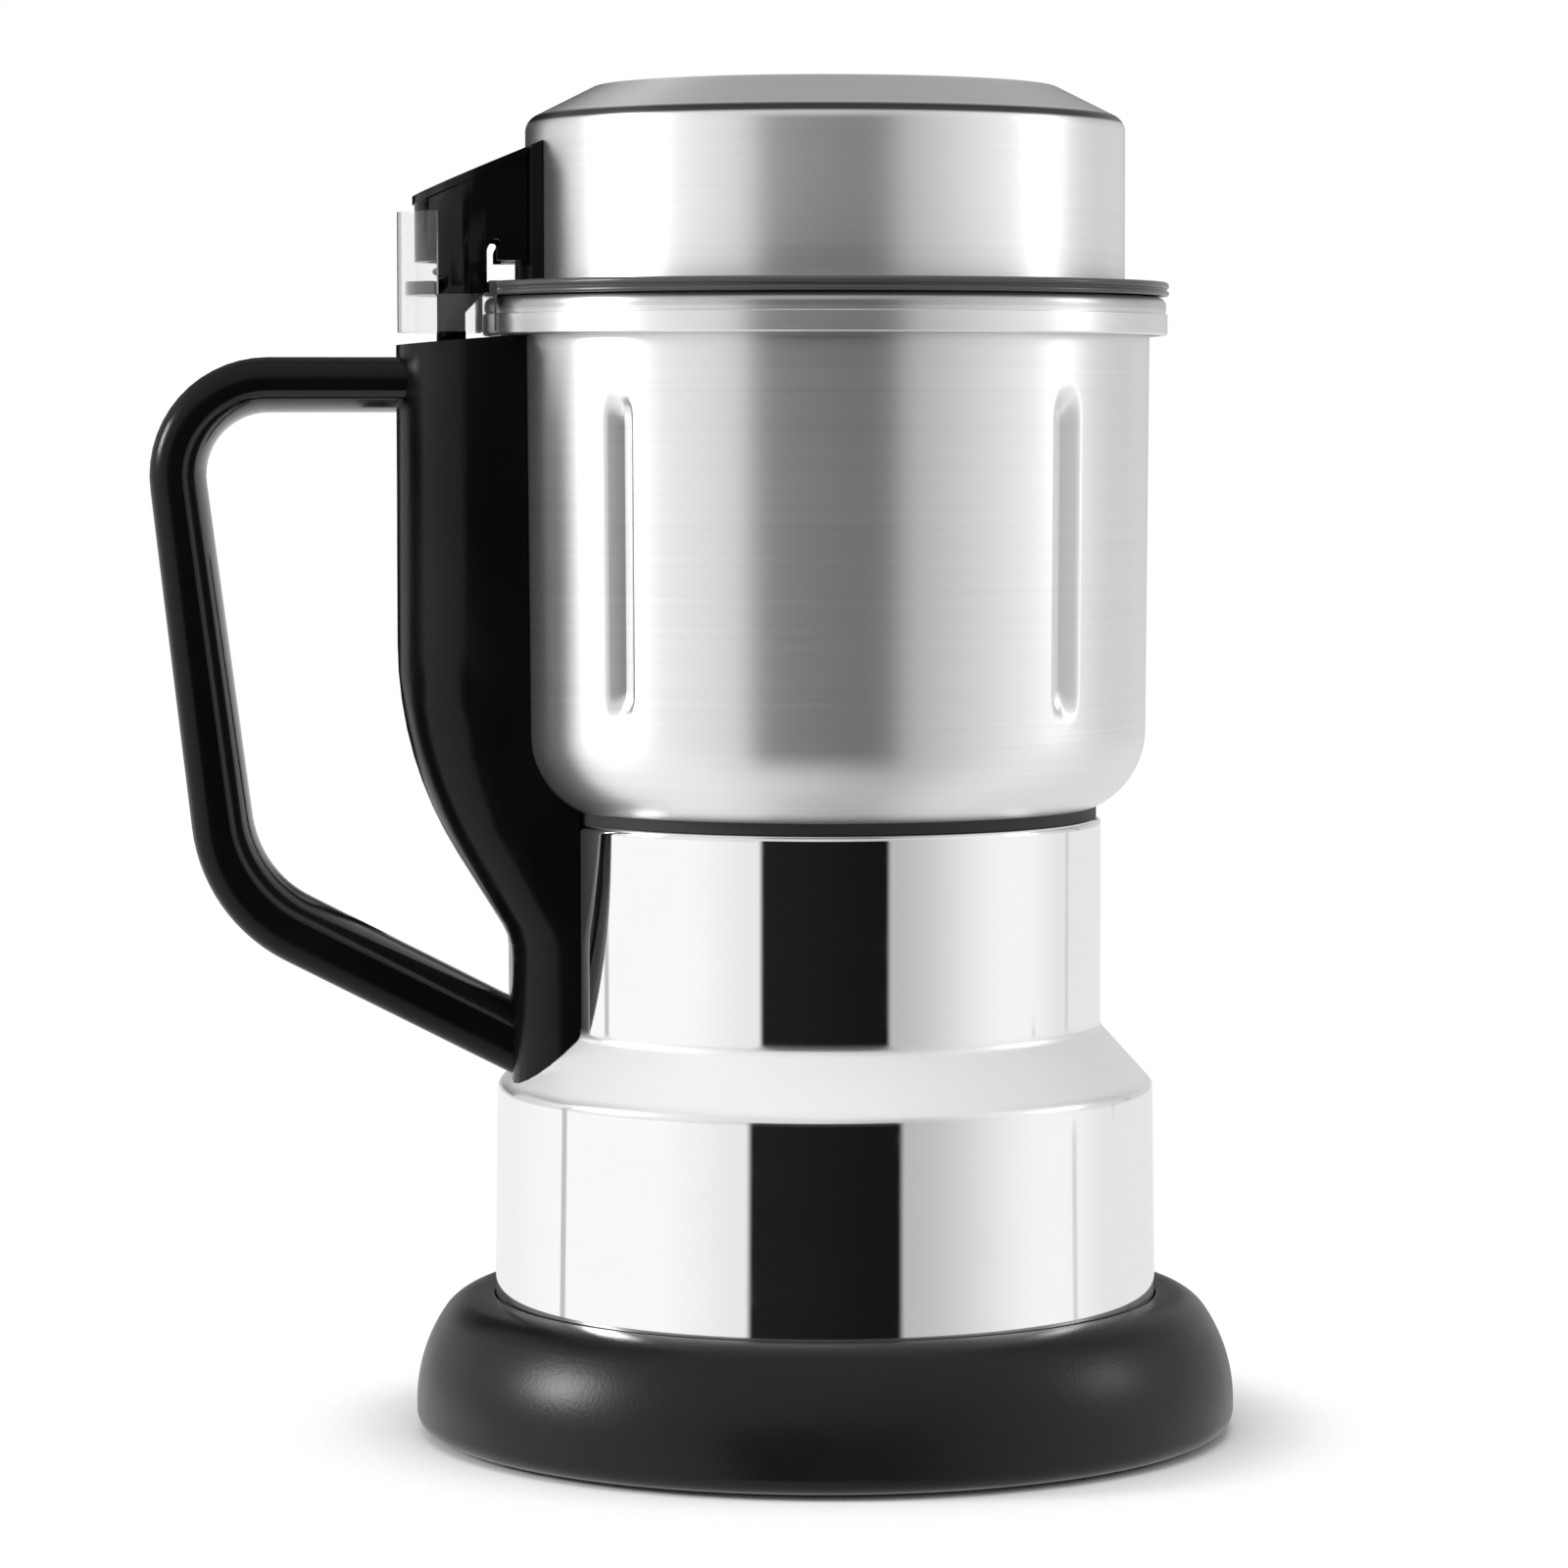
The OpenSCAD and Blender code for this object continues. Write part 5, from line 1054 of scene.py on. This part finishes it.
# %% [markdown]
# ## Pieces that keep their solid
#
# The frame's own solids stay for everything whose shape is already right. They arrive as loose
# triangles, so a piece that needs smooth curves is a merged copy: doubles are joined, and edges
# sharper than a limit stay sharp. The others just take a finish.

# %% Merged copies
WELD = 0.002
FLAT_DEGREES, COPY_SHARP_DEGREES = 0.5, 30.0


def smooth_copy(node, name, material):
    """A welded, smooth-shaded copy of a solid."""
    bm = bmesh.new()
    bm.from_mesh(nodes[node].data)
    bmesh.ops.remove_doubles(bm, verts=bm.verts[:], dist=WELD * MM)
    bmesh.ops.dissolve_limit(
        bm, angle_limit=math.radians(FLAT_DEGREES), verts=bm.verts[:], edges=bm.edges[:]
    )
    return to_object(bm, name, material, COPY_SHARP_DEGREES)


COPIES = (
    ("handle_column", "column_moulding", handle_black, "motor_unit", "black_plastic"),
    ("press_block", "thumb_block", handle_black, "press", "black_plastic"),
    ("lid_collar", "lid_flange", collar_black, "lid", "smoke_plastic"),
    ("press_guard", "clear_guard", clear, "lid", "clear_plastic"),
)
for node, name, material, body, slot in COPIES:
    put(smooth_copy(node, name, material), body, node)

# %% [markdown]
# ## Springs that are squeezed
#
# Block and plunger each push a coil spring. A spring doesn't travel with the piece that squeezes
# it: its lower end stays on its seat and the coils close up. So each spring rides on the body
# that it stands on, as a copy with a mesh of its own.


# %% Squeezed springs
def squeezed_spring(node, name, body):
    """A smooth copy of a spring on the body that it stands on, with a mesh of its own."""
    spring = put(smooth_copy(node, name, spring_wire), body, node)
    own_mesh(spring)


squeezed_spring("press_spring", "block_spring", "lid")
squeezed_spring("plunger_spring", "stem_spring", "motor_unit")

# %% Finishes on the solids that stay
KEPT = {
    rubber: ("foot_ring", "cord_gland", "bowl_gasket", "shaft_seal", "rubber_mounts"),
    handle_black: ("bottom_cover", "cooling_fan", "microswitch"),
    zinc: ("cover_screws", "bowl_screws", "motor_bolts", "column_screws", "motor_shaft"),
    spring_wire: ("brush_springs",),
    cast_alloy: ("upper_bracket", "lower_bracket"),
    bronze: ("upper_bearing", "lower_bearing"),
    copper: ("field_coils", "rotor_windings", "commutator"),
    brass: ("brush_holders",),
    carbon: ("carbon_brushes",),
    card_brown: ("brush_card",),
    lamination: ("stator_core", "rotor_core"),
    cream: ("terminal_block", "safety_plunger"),
    wire_white: ("switch_leads",),
    red: ("switch_pin",),
    blade_steel: ("blade_hub", "lower_blade", "upper_blade", "blade_nut"),
    clear_liner: ("lid_liner",),
    silicone: ("lid_seal",),
}
for material, names in KEPT.items():
    for name in names:
        mesh = nodes[name].data
        mesh.materials.clear()
        mesh.materials.append(material)
print(sum(len(names) for names in KEPT.values()), "solids keep their shape")
